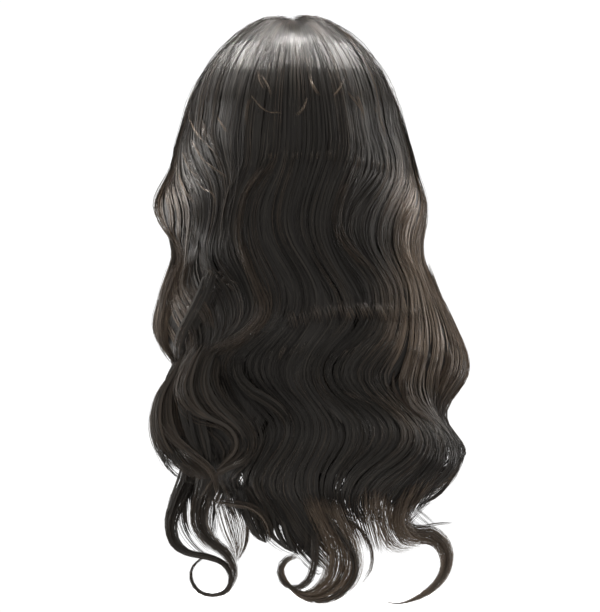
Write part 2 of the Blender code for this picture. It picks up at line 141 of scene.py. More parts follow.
# The cap's edge: angle from the back, another drop, and the share of the way to it from the ear's drop.
EDGE_ROWS = (
    (0, NAPE_DROP, 1.00),
    (35, NAPE_DROP, 0.88),
    (60, NAPE_DROP, 0.38),
    (82, NAPE_DROP, 0.00),
    (104, NAPE_DROP, 0.06),
    (125, HAIRLINE_DROP, 0.12),
    (140, HAIRLINE_DROP, 0.48),
    (158, HAIRLINE_DROP, 0.85),
    (180, HAIRLINE_DROP, 1.00),
)

# The fall by level: left flare, right flare, gather, sway at the back, thickness.
FALL_ROWS = (
    (0.000, 0.00, 0.00, 0.00, 0.00, 1.00),
    (0.083, 0.55, 0.22, 0.14, 0.20, 1.00),
    (0.165, 0.86, 0.40, 0.38, 0.00, 1.05),
    (0.268, 0.93, 0.58, 0.76, -0.60, 1.05),
    (0.360, 0.96, 0.86, 0.96, -0.60, 1.02),
    (0.423, 1.00, 0.98, 1.00, -0.40, 1.00),
    (0.526, 1.00, 1.07, 1.00, 0.20, 0.95),
    (0.629, 1.03, 1.05, 1.00, 0.50, 0.90),
    (0.732, 0.72, 0.98, 1.00, 0.40, 0.80),
    (0.860, 0.50, 0.60, 1.00, 0.10, 0.60),
    (1.000, 0.40, 0.50, 1.00, 0.00, 0.50),
)

# The turns of the waves: levels at the left edge, in the middle and at the right edge, and swings there.
WAVE_ROWS = (
    (0.050, 0.090, 0.130, 0.00, 0.00, 0.00),
    (0.165, 0.241, 0.290, 0.60, 0.85, 0.45),
    (0.274, 0.406, 0.505, 0.60, 1.10, 0.60),
    (0.423, 0.526, 0.610, 0.60, 1.10, 0.65),
    (0.509, 0.635, 0.700, 0.60, 0.95, 0.75),
    (0.629, 0.742, 0.835, 0.75, 0.90, 1.20),
    (0.726, 0.845, 0.907, 1.00, 0.80, 1.00),
    (0.835, 0.938, 1.000, 0.90, 0.70, 0.80),
)

# The curls: across, down and back from the end of the section in curl radii, and the width.
LEFT_RING = (
    (0.35, 1.2, 0.0, 1.60),
    (0.45, 2.3, 0.0, 1.80),
    (0.50, 3.4, 0.0, 1.70),
    (1.05, 4.4, 0.0, 1.20),
    (2.00, 5.1, 0.0, 0.75),
    (2.55, 5.9, 0.0, 0.45),
    (2.25, 6.6, 0.1, 0.34),
    (1.45, 6.8, 0.2, 0.28),
    (0.75, 6.4, 0.3, 0.22),
    (0.80, 5.6, 0.4, 0.18),
)
LEFT_BALL = (
    (-0.50, 1.1, 0.7, 1.35),
    (0.05, 2.0, 1.5, 1.25),
    (1.25, 2.3, 1.9, 1.10),
    (2.25, 1.9, 2.1, 0.90),
    (2.70, 1.1, 2.1, 0.65),
    (2.20, 0.5, 2.1, 0.45),
)
LEFT_HOOK = (
    (0.20, 0.7, 0.2, 1.10),
    (0.60, 1.4, 0.2, 0.85),
    (1.15, 1.2, 0.2, 0.45),
)
MIDDLE_HOOK = (
    (0.55, 1.0, 0.0, 1.90),
    (1.25, 1.9, 0.0, 1.70),
    (1.90, 2.8, 0.0, 1.50),
    (1.65, 3.7, 0.0, 1.30),
    (0.80, 4.1, 0.0, 1.00),
    (-0.05, 3.7, 0.0, 0.70),
    (-0.50, 3.0, 0.1, 0.50),
    (-0.15, 2.4, 0.3, 0.35),
    (0.35, 2.7, 0.5, 0.22),
)
RIGHT_SWEEP = (
    (0.50, 0.9, 0.1, 1.50),
    (0.90, 1.8, 0.1, 0.90),
    (0.60, 2.7, 0.1, 0.40),
)
RIGHT_TUCK = (
    (-0.50, 0.9, 0.0, 1.60),
    (-1.20, 1.8, 0.1, 1.20),
    (-1.30, 2.7, 0.1, 0.80),
    (-0.90, 3.3, 0.1, 0.40),
)
RIGHT_HOOK = (
    (-0.40, 0.9, -0.2, 1.30),
    (-1.30, 1.7, -0.3, 1.20),
    (-2.30, 2.4, -0.3, 1.05),
    (-2.45, 3.1, -0.3, 0.90),
    (-1.65, 3.8, -0.3, 0.80),
    (-0.85, 4.5, -0.3, 0.70),
    (-0.60, 5.4, -0.3, 0.58),
    (-0.95, 6.3, -0.3, 0.46),
    (-1.80, 6.9, -0.3, 0.34),
    (-2.90, 7.3, -0.3, 0.22),
)

# The sections: name, first and last angle, level where the curl begins, curl, locks and strand guides.
SECTIONS = (
    ("left_temple_hair", -FRONT_ANGLE, -TEMPLE_ANGLE, 0.700, LEFT_RING, 240, 92),
    ("left_side_hair", -TEMPLE_ANGLE, -SIDE_ANGLE, 0.630, LEFT_BALL, 235, 92),
    ("back_left_hair", -SIDE_ANGLE, -MIDDLE_ANGLE, 0.790, LEFT_HOOK, 280, 115),
    ("back_middle_hair", -MIDDLE_ANGLE, MIDDLE_ANGLE, 0.800, MIDDLE_HOOK, 330, 135),
    ("back_right_hair", MIDDLE_ANGLE, SIDE_ANGLE, 0.790, RIGHT_SWEEP, 280, 110),
    ("right_side_hair", SIDE_ANGLE, TEMPLE_ANGLE, 0.760, RIGHT_TUCK, 240, 95),
    ("right_temple_hair", TEMPLE_ANGLE, FRONT_ANGLE, 0.690, RIGHT_HOOK, 235, 92),
)

# The way the hair runs on the photograph, as lines traced downwards on it in pixels, x and y in turn.
FLOW_LINES = (
    (184, 112, 177, 140, 176, 160, 184, 182, 193, 203, 192, 223, 186, 245, 176, 262),
    (197, 105, 205, 130, 213, 155, 222, 172, 226, 190, 222, 205, 217, 220, 207, 238),
    (185, 155, 191, 172, 203, 182, 211, 194, 212, 217, 205, 233, 200, 247, 202, 263),
    (207, 238, 203, 250, 205, 260, 212, 268, 227, 278, 234, 292, 236, 305),
    (222, 237, 219, 250, 222, 260, 230, 269, 238, 282),
    (176, 262, 172, 280, 180, 295, 190, 306, 200, 320, 205, 335, 204, 350),
    (188, 260, 188, 275, 193, 288, 203, 300, 208, 315, 212, 330),
    (160, 303, 160, 320, 168, 332, 177, 345),
    (235, 105, 236, 140, 236, 160),
    (262, 105, 262, 150, 259, 165),
    (272, 163, 258, 180, 248, 195, 243, 210, 242, 225, 242, 242, 248, 260, 255, 280),
    (255, 280, 263, 297, 266, 311, 253, 327, 240, 338, 217, 345, 205, 353, 197, 362),
    (265, 195, 262, 207, 262, 222, 264, 235, 270, 249, 280, 263, 288, 280, 290, 300),
    (290, 300, 288, 312, 278, 324, 262, 336, 245, 345),
    (290, 105, 291, 150, 286, 172, 280, 200, 278, 217, 279, 232, 287, 250, 303, 272),
    (303, 272, 308, 290, 310, 305, 304, 322, 292, 338, 278, 355),
    (318, 105, 319, 150, 312, 172, 304, 195, 300, 215, 303, 235, 318, 258, 334, 280),
    (322, 285, 325, 300, 320, 318, 308, 336, 297, 352, 292, 368),
    (343, 155, 332, 172, 325, 198, 321, 217, 320, 233, 323, 250, 329, 267, 340, 281),
    (340, 281, 349, 294, 351, 310, 350, 322, 340, 335, 328, 350),
    (345, 110, 350, 140, 352, 160, 342, 188, 337, 207, 336, 221, 339, 234, 347, 247),
    (347, 247, 358, 258, 372, 270, 382, 284, 384, 300, 382, 315, 377, 335, 366, 347),
    (380, 182, 365, 193, 352, 208, 348, 220, 349, 235, 354, 250, 364, 264, 374, 280),
    (374, 280, 370, 300, 371, 315, 364, 328, 350, 337, 340, 343, 328, 357, 325, 370),
    (368, 105, 378, 125, 388, 150, 392, 170, 385, 193, 378, 208, 375, 223, 374, 238),
    (374, 238, 378, 255, 386, 267, 393, 281, 398, 295, 395, 312, 391, 331, 382, 345),
    (418, 178, 415, 193, 405, 208, 398, 223, 397, 238, 400, 253, 408, 268, 412, 280),
    (412, 280, 409, 300, 411, 320, 410, 340, 411, 357, 403, 373, 402, 390, 408, 405),
    (417, 222, 410, 233, 408, 247, 413, 260, 422, 273, 427, 290, 433, 312, 436, 332),
    (436, 332, 437, 348, 434, 362, 430, 376, 432, 390, 436, 400),
    (428, 207, 428, 220, 425, 235, 425, 250, 428, 268, 438, 288, 450, 306, 459, 330),
    (459, 330, 463, 350, 464, 368, 460, 384, 450, 395),
    (215, 348, 213, 363, 218, 380, 227, 397, 237, 412, 248, 423, 257, 438, 252, 452),
    (252, 452, 240, 460, 228, 466, 221, 475, 212, 487, 202, 498),
    (190, 362, 183, 377, 185, 392, 195, 405, 207, 412, 223, 417, 235, 425, 240, 437),
    (176, 368, 164, 388, 160, 408, 166, 422, 180, 435, 193, 447, 208, 460, 217, 478),
    (240, 352, 238, 366, 243, 379, 263, 392, 277, 403, 287, 414, 290, 425, 284, 438),
    (284, 438, 272, 449, 260, 460, 256, 472, 258, 484, 266, 497),
    (272, 343, 265, 355, 264, 367, 270, 381, 282, 394, 295, 406, 303, 418, 301, 433),
    (301, 433, 290, 450, 280, 459, 273, 473, 275, 490),
    (292, 345, 281, 358, 280, 372, 287, 384, 300, 396, 312, 408, 318, 424, 312, 440),
    (320, 342, 312, 354, 310, 366, 312, 380, 318, 393, 329, 406, 343, 417, 348, 432),
    (328, 357, 325, 368, 329, 378, 342, 384, 356, 392, 370, 403, 377, 415, 378, 435),
    (366, 347, 350, 358, 346, 370, 352, 383, 362, 392, 383, 404, 393, 414, 394, 430),
    (385, 345, 370, 358, 366, 371, 370, 385, 382, 397, 400, 408, 413, 418, 418, 433),
    (408, 405, 420, 413, 433, 423, 447, 434, 457, 449, 456, 465, 444, 478, 425, 490),
    (418, 433, 412, 445, 402, 455, 387, 462, 374, 470, 366, 484, 366, 498),
    (433, 425, 438, 440, 433, 455, 420, 468, 408, 480, 400, 495),
    (394, 430, 387, 440, 372, 452, 357, 462, 346, 474, 344, 487, 348, 500),
    (350, 432, 344, 445, 334, 458, 328, 472, 330, 488, 338, 500),
    (322, 428, 318, 443, 308, 455, 302, 470, 306, 488, 314, 502),
)
FLOW_STEP = 4  # pixels between the places of a line that lead
FLOW_REACH = 11  # pixels over which a line leads the hair beside it
FLOW_SHARE = 0.02  # weight of the section's own way beside the lines
FLOW_STEEPEST = 2.4  # sideways for each pixel down
FLOW_RATE = 0.16  # most of a section's width crossed from one cut to the next

# Locks that the photograph shows, traced in pixels: piece, frame Y at the start and end, half widths along
# the lock, count of flat locks and their size, count of strand guides, tone, line. The tone of the light and
# thin brown locks is painted light: painted highlights, and light coming through thin hair.
FEATURE_LOCKS = (
    # The masses of hair low down, and the lock shaped like an S over those on the left.
    ("back_left_hair", -0.090, -0.086, (26, 26, 22, 15), 40, 2.0, 8, 0.08, (
        224, 372, 226, 415, 222, 452, 214, 484, 207, 502)),
    ("back_left_hair", -0.126, -0.122, (4, 5, 5, 4, 3), 16, 0.8, 8, 0.30, (
        238, 352, 240, 372, 252, 386, 267, 395, 280, 405, 288, 417, 287, 432, 276, 446, 261, 460, 256, 474,
        260, 488, 268, 500)),
    ("back_left_hair", -0.106, -0.108, (20, 22, 20, 16, 9), 36, 1.8, 8, 0.08, (
        262, 400, 266, 432, 264, 462, 262, 490, 262, 518)),
    ("back_middle_hair", -0.108, -0.114, (22, 24, 22, 16, 9), 40, 1.8, 8, 0.08, (
        322, 400, 318, 432, 314, 462, 312, 492, 310, 522)),
    ("back_right_hair", -0.100, -0.098, (26, 26, 24, 20, 14), 40, 1.8, 10, 0.12, (
        380, 400, 380, 430, 372, 456, 362, 482, 360, 504)),
    ("right_side_hair", -0.092, -0.090, (18, 20, 18, 14), 26, 1.6, 8, 0.25, (
        418, 415, 412, 440, 402, 465, 394, 488, 390, 508)),
    # The light lock left of the middle, and others that show over the rest. These lie on the outer face, and
    # their light tone is painted light: painted highlights, and light coming through thin hair at the sides.
    ("back_left_hair", None, 0.0016, (3, 4, 4, 4, 5, 6, 6, 4), 0, 0.7, 8, 0.90, (
        282, 150, 273, 162, 258, 180, 248, 195, 243, 210, 241, 226, 243, 244, 249, 262, 256, 281, 264, 298,
        265, 312, 253, 328, 238, 339, 217, 347, 203, 355, 194, 366)),
    ("back_right_hair", None, 0.0016, (4, 5, 4), 0, 0.7, 5, 0.75, (
        352, 177, 342, 191, 337, 207, 336, 221, 340, 235, 350, 249, 364, 262, 380, 279)),
    ("right_side_hair", None, 0.0016, (5, 7, 7, 5), 0, 0.7, 12, 1.50, (
        417, 200, 405, 214, 398, 228, 397, 242, 401, 256, 409, 270, 418, 284)),
    ("right_temple_hair", None, 0.0016, (3, 5, 5, 4), 0, 0.7, 8, 1.20, (
        445, 345, 447, 358, 443, 372, 438, 384, 434, 396)),
    ("left_side_hair", None, 0.0016, (4, 6, 6, 4), 0, 0.7, 7, 0.85, (
        196, 250, 190, 268, 188, 283, 196, 298, 207, 312, 213, 328)),
    ("back_right_hair", None, 0.0016, (3, 4, 3), 0, 0.7, 5, 0.90, (
        403, 375, 403, 390, 409, 404, 421, 413, 434, 422)),
)
FEATURE_STEP = 0.0075  # between the points of a traced lock

# Hair that fans out between two lines traced in pixels: piece, frame Y at the start and end, count of flat
# locks and their size, count of strand guides, tone, one side, other side. A light tone stands for painted
# highlights and for light coming through thin hair.
FEATURE_FANS = (
    # Hair over the left temple's wave, and behind the gap beside it.
    ("left_temple_hair", None, 0.0016, 26, 0.8, 14, 0.95, (
        172, 262, 164, 284, 159, 304, 157, 324, 161, 344, 169, 360), (
        198, 262, 190, 284, 182, 304, 178, 324, 179, 344, 184, 360)),
    ("left_side_hair", None, 0.0012, 14, 1.1, 3, 0.12, (
        206, 268, 200, 290, 190, 312, 180, 332, 176, 352, 180, 368), (
        232, 268, 224, 290, 214, 312, 202, 332, 196, 352, 198, 368)),
    # The full round curl at the lower left: its dark body, its outer hair, the hair that turns in, and the
    # light locks over it, whose light tone is a painted highlight.
    ("left_side_hair", -0.092, -0.094, 56, 1.4, 4, 0.10, (
        184, 350, 166, 380, 160, 404, 162, 430, 178, 452, 203, 470), (
        232, 350, 234, 380, 242, 404, 248, 430, 240, 452, 216, 474)),
    ("left_side_hair", -0.098, -0.114, 44, 0.8, 20, 0.55, (
        186, 348, 172, 374, 159, 394, 155, 420, 160, 440, 171, 454, 187, 463, 202, 474), (
        196, 340, 184, 366, 178, 390, 179, 412, 186, 430, 199, 446, 210, 459, 217, 474)),
    ("left_side_hair", -0.114, -0.128, 44, 0.9, 22, 0.50, (
        198, 338, 186, 364, 180, 384, 186, 401, 198, 411, 213, 415, 226, 420, 235, 430, 236, 441, 229, 452,
        218, 462), (
        236, 336, 222, 356, 219, 376, 227, 394, 240, 409, 252, 423, 257, 438, 252, 450, 240, 458, 225, 463,
        216, 474)),
    ("left_side_hair", -0.117, -0.121, 16, 1.2, 0, 0.05, (
        180, 392, 184, 414, 190, 434, 202, 452), (
        212, 408, 214, 424, 218, 440, 216, 458)),
    ("left_side_hair", -0.131, -0.136, 2, 0.4, 5, 0.70, (
        160, 414, 170, 430, 184, 443, 198, 454, 209, 463, 216, 476, 219, 490, 223, 504), (
        166, 408, 178, 426, 192, 440, 205, 451, 215, 460, 221, 474, 222, 488, 225, 502)),
    ("left_side_hair", -0.130, -0.134, 0, 0.4, 5, 0.60, (
        219, 380, 225, 398, 238, 412, 249, 425, 252, 438, 246, 450, 234, 457, 222, 463, 212, 474, 202,
        490), (
        225, 376, 232, 394, 244, 408, 256, 422, 259, 438, 252, 453, 238, 461, 226, 466, 217, 478, 206, 494)),
    # Loose hair along the outlines.
    ("right_temple_hair", -0.045, -0.055, 10, 0.6, 14, 0.90, (
        429, 262, 438, 287, 446, 308, 452, 328, 461, 350, 465, 369, 461, 386, 449, 400, 440, 416, 449, 432,
        458, 448, 460, 464, 453, 480, 436, 496), (
        424, 266, 432, 290, 439, 310, 445, 330, 454, 350, 458, 368, 453, 383, 443, 397, 434, 414, 442, 432,
        451, 447, 453, 462, 446, 476, 430, 491)),
    ("left_temple_hair", -0.045, -0.050, 6, 0.6, 10, 0.60, (
        163, 216, 170, 240, 172, 256, 166, 274, 160, 292, 156, 310, 156, 330, 160, 346, 168, 358, 177,
        368), (
        170, 220, 176, 242, 178, 258, 172, 276, 167, 294, 163, 312, 163, 330, 166, 344, 174, 356, 182, 366)),
    ("left_side_hair", -0.100, -0.100, 4, 0.6, 8, 0.45, (
        179, 367, 166, 380, 157, 397, 153, 416, 154, 432, 159, 447, 169, 458, 186, 465, 202, 471), (
        184, 368, 172, 382, 163, 398, 160, 416, 161, 431, 166, 444, 176, 454, 190, 461, 204, 468)),
    # The lower left lock and its ring.
    ("left_temple_hair", -0.070, -0.066, 22, 0.6, 18, 0.35, (
        186, 446, 180, 472, 171, 498, 166, 520, 171, 541, 185, 551, 207, 555, 223, 561, 231, 573, 227, 587,
        213, 592, 200, 588, 193, 577, 194, 566, 204, 557, 214, 557), (
        206, 450, 199, 476, 187, 500, 178, 520, 179, 537, 190, 549, 209, 553, 227, 562, 233, 575, 229, 589,
        213, 594, 199, 590, 191, 578, 192, 565, 203, 555, 214, 555)),
    ("left_temple_hair", -0.074, -0.070, 14, 0.6, 18, 0.55, (
        204, 455, 198, 480, 192, 503, 193, 524, 206, 541, 222, 552, 231, 565, 232, 578, 225, 588), (
        230, 455, 222, 480, 212, 502, 209, 520, 218, 538, 230, 548, 237, 562, 237, 577, 229, 589)),
    # The thin fan right of it.
    ("left_temple_hair", -0.080, -0.074, 0, 0.6, 14, 1.20, (
        214, 490, 218, 510, 224, 530, 233, 548, 236, 560), (
        236, 492, 245, 512, 249, 530, 246, 544, 238, 558)),
    ("back_left_hair", -0.095, -0.080, 2, 0.5, 6, 0.80, (
        238, 488, 244, 508, 247, 526, 245, 542, 238, 556), (
        242, 488, 247, 508, 250, 526, 247, 543, 239, 557)),
    # The dark curl right of the fan, and the light lock over it.
    ("back_left_hair", -0.110, -0.114, 30, 0.8, 8, 0.06, (
        232, 476, 238, 496, 245, 514, 254, 529, 266, 536), (
        266, 476, 270, 496, 274, 512, 274, 526, 269, 536)),
    ("back_left_hair", -0.116, -0.119, 3, 0.5, 7, 0.80, (
        212, 494, 230, 500, 248, 503, 260, 511, 267, 523, 269, 535), (
        212, 490, 230, 494, 250, 496, 266, 505, 274, 520, 275, 536)),
    # The bottom of the dark mass, and the hook that hangs from it.
    ("back_middle_hair", -0.112, -0.116, 44, 1.0, 10, 0.08, (
        256, 470, 256, 500, 265, 524, 280, 539, 296, 546), (
        330, 470, 332, 500, 328, 522, 318, 538, 304, 550)),
    ("back_middle_hair", -0.120, -0.126, 12, 0.5, 44, 1.60, (
        334, 486, 344, 512, 354, 535, 358, 556, 353, 574, 338, 588, 318, 593, 300, 588, 287, 576, 280, 562,
        286, 550, 297, 545), (
        300, 486, 312, 512, 322, 532, 327, 550, 325, 566, 316, 578, 304, 583, 294, 579, 287, 571, 284, 561,
        289, 553, 298, 550)),
    ("back_middle_hair", -0.126, -0.128, 6, 0.5, 8, 0.50, (
        326, 505, 340, 524, 353, 542, 357, 560, 351, 576, 336, 589, 317, 593, 299, 588, 286, 577), (
        320, 505, 334, 524, 346, 542, 351, 560, 345, 574, 332, 584, 316, 588, 300, 583, 288, 574)),
    ("back_middle_hair", -0.128, -0.130, 5, 0.5, 8, 0.60, (
        312, 520, 312, 540, 311, 556, 306, 570, 297, 577, 287, 575, 281, 566, 283, 555, 292, 548, 301,
        550), (
        318, 522, 318, 542, 316, 560, 310, 574, 298, 581, 285, 578, 278, 567, 280, 553, 291, 545, 302, 546)),
    ("back_right_hair", -0.110, -0.112, 1, 0.4, 4, 1.10, (
        320, 508, 342, 514, 358, 525, 368, 542, 368, 560, 359, 575), (
        324, 506, 344, 512, 361, 523, 371, 542, 371, 561, 361, 577)),
    # The thin hair right of the middle, drawn light brown: painted light coming through it.
    ("back_right_hair", -0.106, -0.108, 6, 0.6, 40, 1.40, (
        330, 468, 330, 490, 334, 508, 344, 524, 352, 540), (
        386, 468, 384, 492, 382, 512, 384, 530, 388, 548)),
    ("right_side_hair", -0.095, -0.095, 12, 0.6, 36, 1.30, (
        384, 460, 376, 486, 374, 508, 380, 528, 390, 544, 408, 546), (
        430, 456, 422, 478, 410, 498, 405, 516, 412, 530, 424, 538)),
    # The right hook.
    ("right_temple_hair", -0.065, -0.060, 6, 0.5, 30, 1.15, (
        458, 452, 450, 474, 430, 490, 412, 503, 408, 516, 417, 527, 434, 527, 447, 538, 452, 554, 448, 572,
        437, 586, 420, 597, 400, 602, 386, 600), (
        432, 450, 416, 474, 398, 496, 390, 514, 396, 532, 412, 539, 428, 540, 438, 549, 441, 563, 436, 577,
        426, 588, 412, 597, 398, 602, 386, 601)),
    ("right_temple_hair", -0.068, -0.066, 2, 0.4, 5, 0.80, (
        404, 524, 416, 529, 430, 529, 442, 536, 449, 548, 449, 564, 441, 580, 426, 593), (
        400, 529, 414, 534, 430, 534, 440, 541, 446, 552, 445, 566, 438, 580, 425, 592)),
    ("right_temple_hair", -0.062, -0.062, 0, 0.5, 2, 0.90, (
        404, 520, 420, 523, 438, 520, 452, 521), (
        406, 524, 421, 526, 438, 523, 452, 522)),
)

# Rows of short light hairs where the waves turn, their light tone a painted highlight on the wave crests:
# piece, first and last pixel of the row, the way and length of each hair in pixels, count of guides, tone.
STROKE_ROWS = (
    ("back_middle_hair", (270, 159), (340, 158), (-1, 11), 8, 0.60),
    ("back_right_hair", (340, 160), (392, 170), (-2, 14), 6, 0.65),
    ("back_middle_hair", (286, 318), (342, 309), (5, 15), 12, 0.80),
    ("back_right_hair", (345, 310), (424, 314), (8, 16), 16, 0.90),
    ("back_left_hair", (206, 352), (262, 328), (-14, 10), 8, 0.60),
    ("back_left_hair", (205, 268), (240, 285), (10, 8), 6, 0.65),
    ("back_middle_hair", (268, 352), (310, 345), (-8, 14), 6, 0.45),
    ("back_right_hair", (330, 352), (392, 342), (-11, 12), 8, 0.55),
    ("back_right_hair", (345, 388), (400, 404), (14, 8), 8, 0.60),
    ("right_side_hair", (405, 348), (432, 360), (-6, 14), 6, 0.65),
    ("left_side_hair", (186, 156), (204, 186), (9, 12), 8, 0.70),
    ("left_side_hair", (200, 118), (222, 165), (7, 16), 7, 0.60),
    ("left_side_hair", (168, 300), (202, 312), (8, 14), 6, 0.55),
)
# Stray hairs on the crown and beside it.
STRAY_HAIRS = (
    ("back_middle_hair", (259, 74, 261, 84, 266, 93)),
    ("back_middle_hair", (252, 99, 259, 108, 268, 115, 282, 116)),
    ("back_left_hair", (251, 100, 248, 112, 247, 128)),
    ("back_middle_hair", (296, 118, 303, 112, 307, 101)),
    ("back_middle_hair", (309, 77, 312, 88, 319, 99)),
    ("back_middle_hair", (332, 99, 338, 92, 343, 80)),
    ("back_right_hair", (346, 94, 354, 104, 363, 116)),
    ("back_right_hair", (356, 98, 361, 112, 362, 122)),
    ("back_left_hair", (187, 112, 196, 131, 210, 147, 216, 153)),
    ("back_left_hair", (192, 140, 204, 160, 219, 172, 228, 178)),
    ("back_left_hair", (218, 118, 223, 126, 228, 134)),
    ("left_side_hair", (183, 152, 190, 168, 203, 183)),
    ("left_side_hair", (178, 172, 186, 190, 196, 203)),
    ("left_side_hair", (196, 180, 206, 190, 214, 193, 218, 205)),
    ("back_middle_hair", (262, 78, 270, 92, 272, 101)),
    ("back_right_hair", (372, 108, 381, 124, 386, 140)),
)

# The sections that have an edge beside the face, and which of their edges it is.
OPEN_SIDES = {"left_temple_hair": "low", "right_temple_hair": "high"}
# How finely the lanes are cut, and how square their rims are.
DOME_CUTS = 22
FALL_CUTS = 110
CURL_STEP = 0.004
ACROSS_CUTS = 9
RIM_POWER = 0.55  # 1 for an oval rim, less for a squarer one
RIM_LEAN = 5

# The backing and the hairs over it.
BACKING_POINTS = 44
BACKING_INSET = 0.0015
BACKING_RIDGE = 0.0006
BACKING_CURL_SHARE = 0.35  # of the curl, where the backing ends
BACKING_FADE_CUTS = 14  # over which it narrows before the curl
BACKING_MAP_SHARE = 0.3  # of the second map's width, that the backing takes
HAIR_MAP = "UVMap"  # the map in metres, for strands, nets and ribs
HAIR_STEPS = (0.016, 0.016, 0.0105, 0.0100, 0.0060)  # on the head, and into, through and out of the waves
SIDE_MARGIN = 0.20  # of the width, that hair strays over a section's edge
OPEN_EDGE = 0.02  # of the width, that stays bare at an edge beside the face
LOCK_LONGEST = 0.30  # metres that the longest locks and strands run
STRAND_LONGEST = 0.20
LOCK_LEAST = 0.00012  # half of a lock's width at its very ends
LOCK_SINK = 0.0016  # how deep a lock lies, and how much deeper its tucked ends go
FACE_TURN = 0.16  # of the width, over which the hair turns in beside the face
STROKE_STEP = 0.005  # between the points of a short or stray hair

# The sewing of the cap.
CLOTH_ROWS = 36
FIRST_WEFT_DROP = 0.024
BAND_SEAM_INSET = 0.0025
STITCH_SKIN = 0.0001  # how far stitches stand from the net

# Steps that spread places evenly over a line or a face, whatever their count.
GOLDEN = 0.6180339887
SPREAD_ALONG = 0.7548776662
SPREAD_ACROSS = 0.5698402910

# Where the photograph's pixels lie in the frame.
PIXEL = 0.00101
PIXEL_X = 293
PIXEL_Y = 13
PIXEL_TOP = 0.012
PHOTO_SIZE = (600, 612)

# Kinds of node that are used most.
MATHS = "ShaderNodeMath"
VECTORS = "ShaderNodeVectorMath"
PARTS = "ShaderNodeCombineXYZ"
MIX = "ShaderNodeMix"
NOISE = "ShaderNodeTexNoise"
RANGE = "ShaderNodeMapRange"
FACT = "GeometryNodeInputNamedAttribute"
STORE = "GeometryNodeStoreNamedAttribute"
INDEX = "GeometryNodeInputIndex"
ON_DOMAIN = "GeometryNodeFieldOnDomain"


def eased(levels, values, at):
    """The value at a level, on a smooth curve through the rows of a table."""
    at = min(max(at, levels[0]), levels[-1])
    last = len(levels) - 1
    i = max(k for k in range(last) if levels[k] <= at)

    def slope(k):
        low, high = max(k - 1, 0), min(k + 1, last)
        return (values[high] - values[low]) / (levels[high] - levels[low])

    step = levels[i + 1] - levels[i]
    t = (at - levels[i]) / step
    start = (1 + 2 * t) * (1 - t) ** 2 * values[i] + t * (1 - t) ** 2 * step * slope(i)
    end = t * t * (3 - 2 * t) * values[i + 1] + t * t * (t - 1) * step * slope(i + 1)
    return start + end


def smooth(t):
    """0 to 1 with level ends."""
    t = np.clip(t, 0.0, 1.0)
    return t * t * (3 - 2 * t)


def column(rows, index):
    return [row[index] for row in rows]


def across(left, middle, right, side):
    """A value at side -1 to 1 from its values at the left edge, in the middle and at the right edge."""
    return middle + (right - middle) * side if side > 0 else middle + (middle - left) * side


def unit(vectors):
    """Vectors made one long."""
    lengths = np.linalg.norm(vectors, axis=-1, keepdims=True)
    return vectors / np.maximum(lengths, 1e-9)


def reaches(points):
    """How far along a row of points each of them lies."""
    return np.concatenate(((0.0,), np.cumsum(np.linalg.norm(np.diff(points, axis=0), axis=-1))))


def spots(line):
    """The points of a traced line, which gives x and y in turn."""
    return np.reshape(line, (-1, 2)).astype(float)


def pixel_place(x, y):
    """The frame's X and Z of a pixel of the photograph, in the plane through the wig."""
    return (x - PIXEL_X) * PIXEL, PIXEL_TOP - (y - PIXEL_Y) * PIXEL


def head_share(drop):
    """The head's girth at a drop from its top, as a share of its widest."""
    if drop <= CROWN_HEIGHT:
        return math.sqrt(max(0.0, 1 - (1 - drop / CROWN_HEIGHT) ** 2))
    return 1 - NAPE_TAPER * ((drop - CROWN_HEIGHT) / (NAPE_DROP - CROWN_HEIGHT)) ** 2


def head_point(angle, drop, offset):
    """A point round the head at a drop, moved out from it by an offset."""
    turn = math.radians(angle)
    if drop < CROWN_HEIGHT:
        rise = 1 - drop / CROWN_HEIGHT
        share = math.sqrt(1 - rise * rise)
        z = (CROWN_HEIGHT + offset) * rise - CROWN_HEIGHT
        wide, long = (HALF_WIDTH + offset) * share, (HALF_LENGTH + offset) * share
    else:
        z = -drop
        wide = HALF_WIDTH * head_share(drop) + offset
        long = HALF_LENGTH * head_share(drop) + offset
    return np.array((wide * math.sin(turn), -long * math.cos(turn), z))


def wave(level, side):
    """(sideways, outward) displacement of the hair at a level of the fall."""
    turns = [across(*row[:3], side) for row in WAVE_ROWS]
    swings = [across(*row[3:], side) for row in WAVE_ROWS]
    phase = eased(turns, list(range(len(turns))), level)
    swing = eased(turns, swings, level)
    sideways = WAVE_SWING * swing * math.cos(math.pi * phase)
    outward = WAVE_DEPTH * swing * math.sin(math.pi * phase) * (1 + (EDGE_WAVE_SHARE - 1) * side * side)
    return sideways, outward


def edge_share(angle):
    """0 over most of the hair, rising to 1 at its edge beside the face."""
    return float(smooth(1 - (FRONT_ANGLE - abs(angle)) / FRONT_THINNING))


def ear_lift(angle):
    """Depth of the hair at the head's widest level. It thins towards its edge beside the face."""
    lift = BACK_LIFT + (SIDE_LIFT - BACK_LIFT) * math.sin(math.radians(angle)) ** 2
    return lift + (FRONT_LIFT - lift) * edge_share(angle)


def root_direction(angle):
    """Where a strand starts, as a direction from the middle of the head in the head's own scale."""
    past = max(0.0, abs(angle) - MIDDLE_ANGLE) / (FRONT_ANGLE - MIDDLE_ANGLE)
    tilt = math.radians(PART_BACK + (PART_FRONT - PART_BACK) * past)
    side = math.copysign(1, angle) if abs(angle) > MIDDLE_ANGLE else angle / MIDDLE_ANGLE
    width = WHORL_WIDTH + (PART_GAP - WHORL_WIDTH) * float(smooth(past / WHORL_SHARE))
    direction = np.array((side * width / HEAD_WIDTH, math.sin(tilt), math.cos(tilt)))
    return direction / np.linalg.norm(direction)


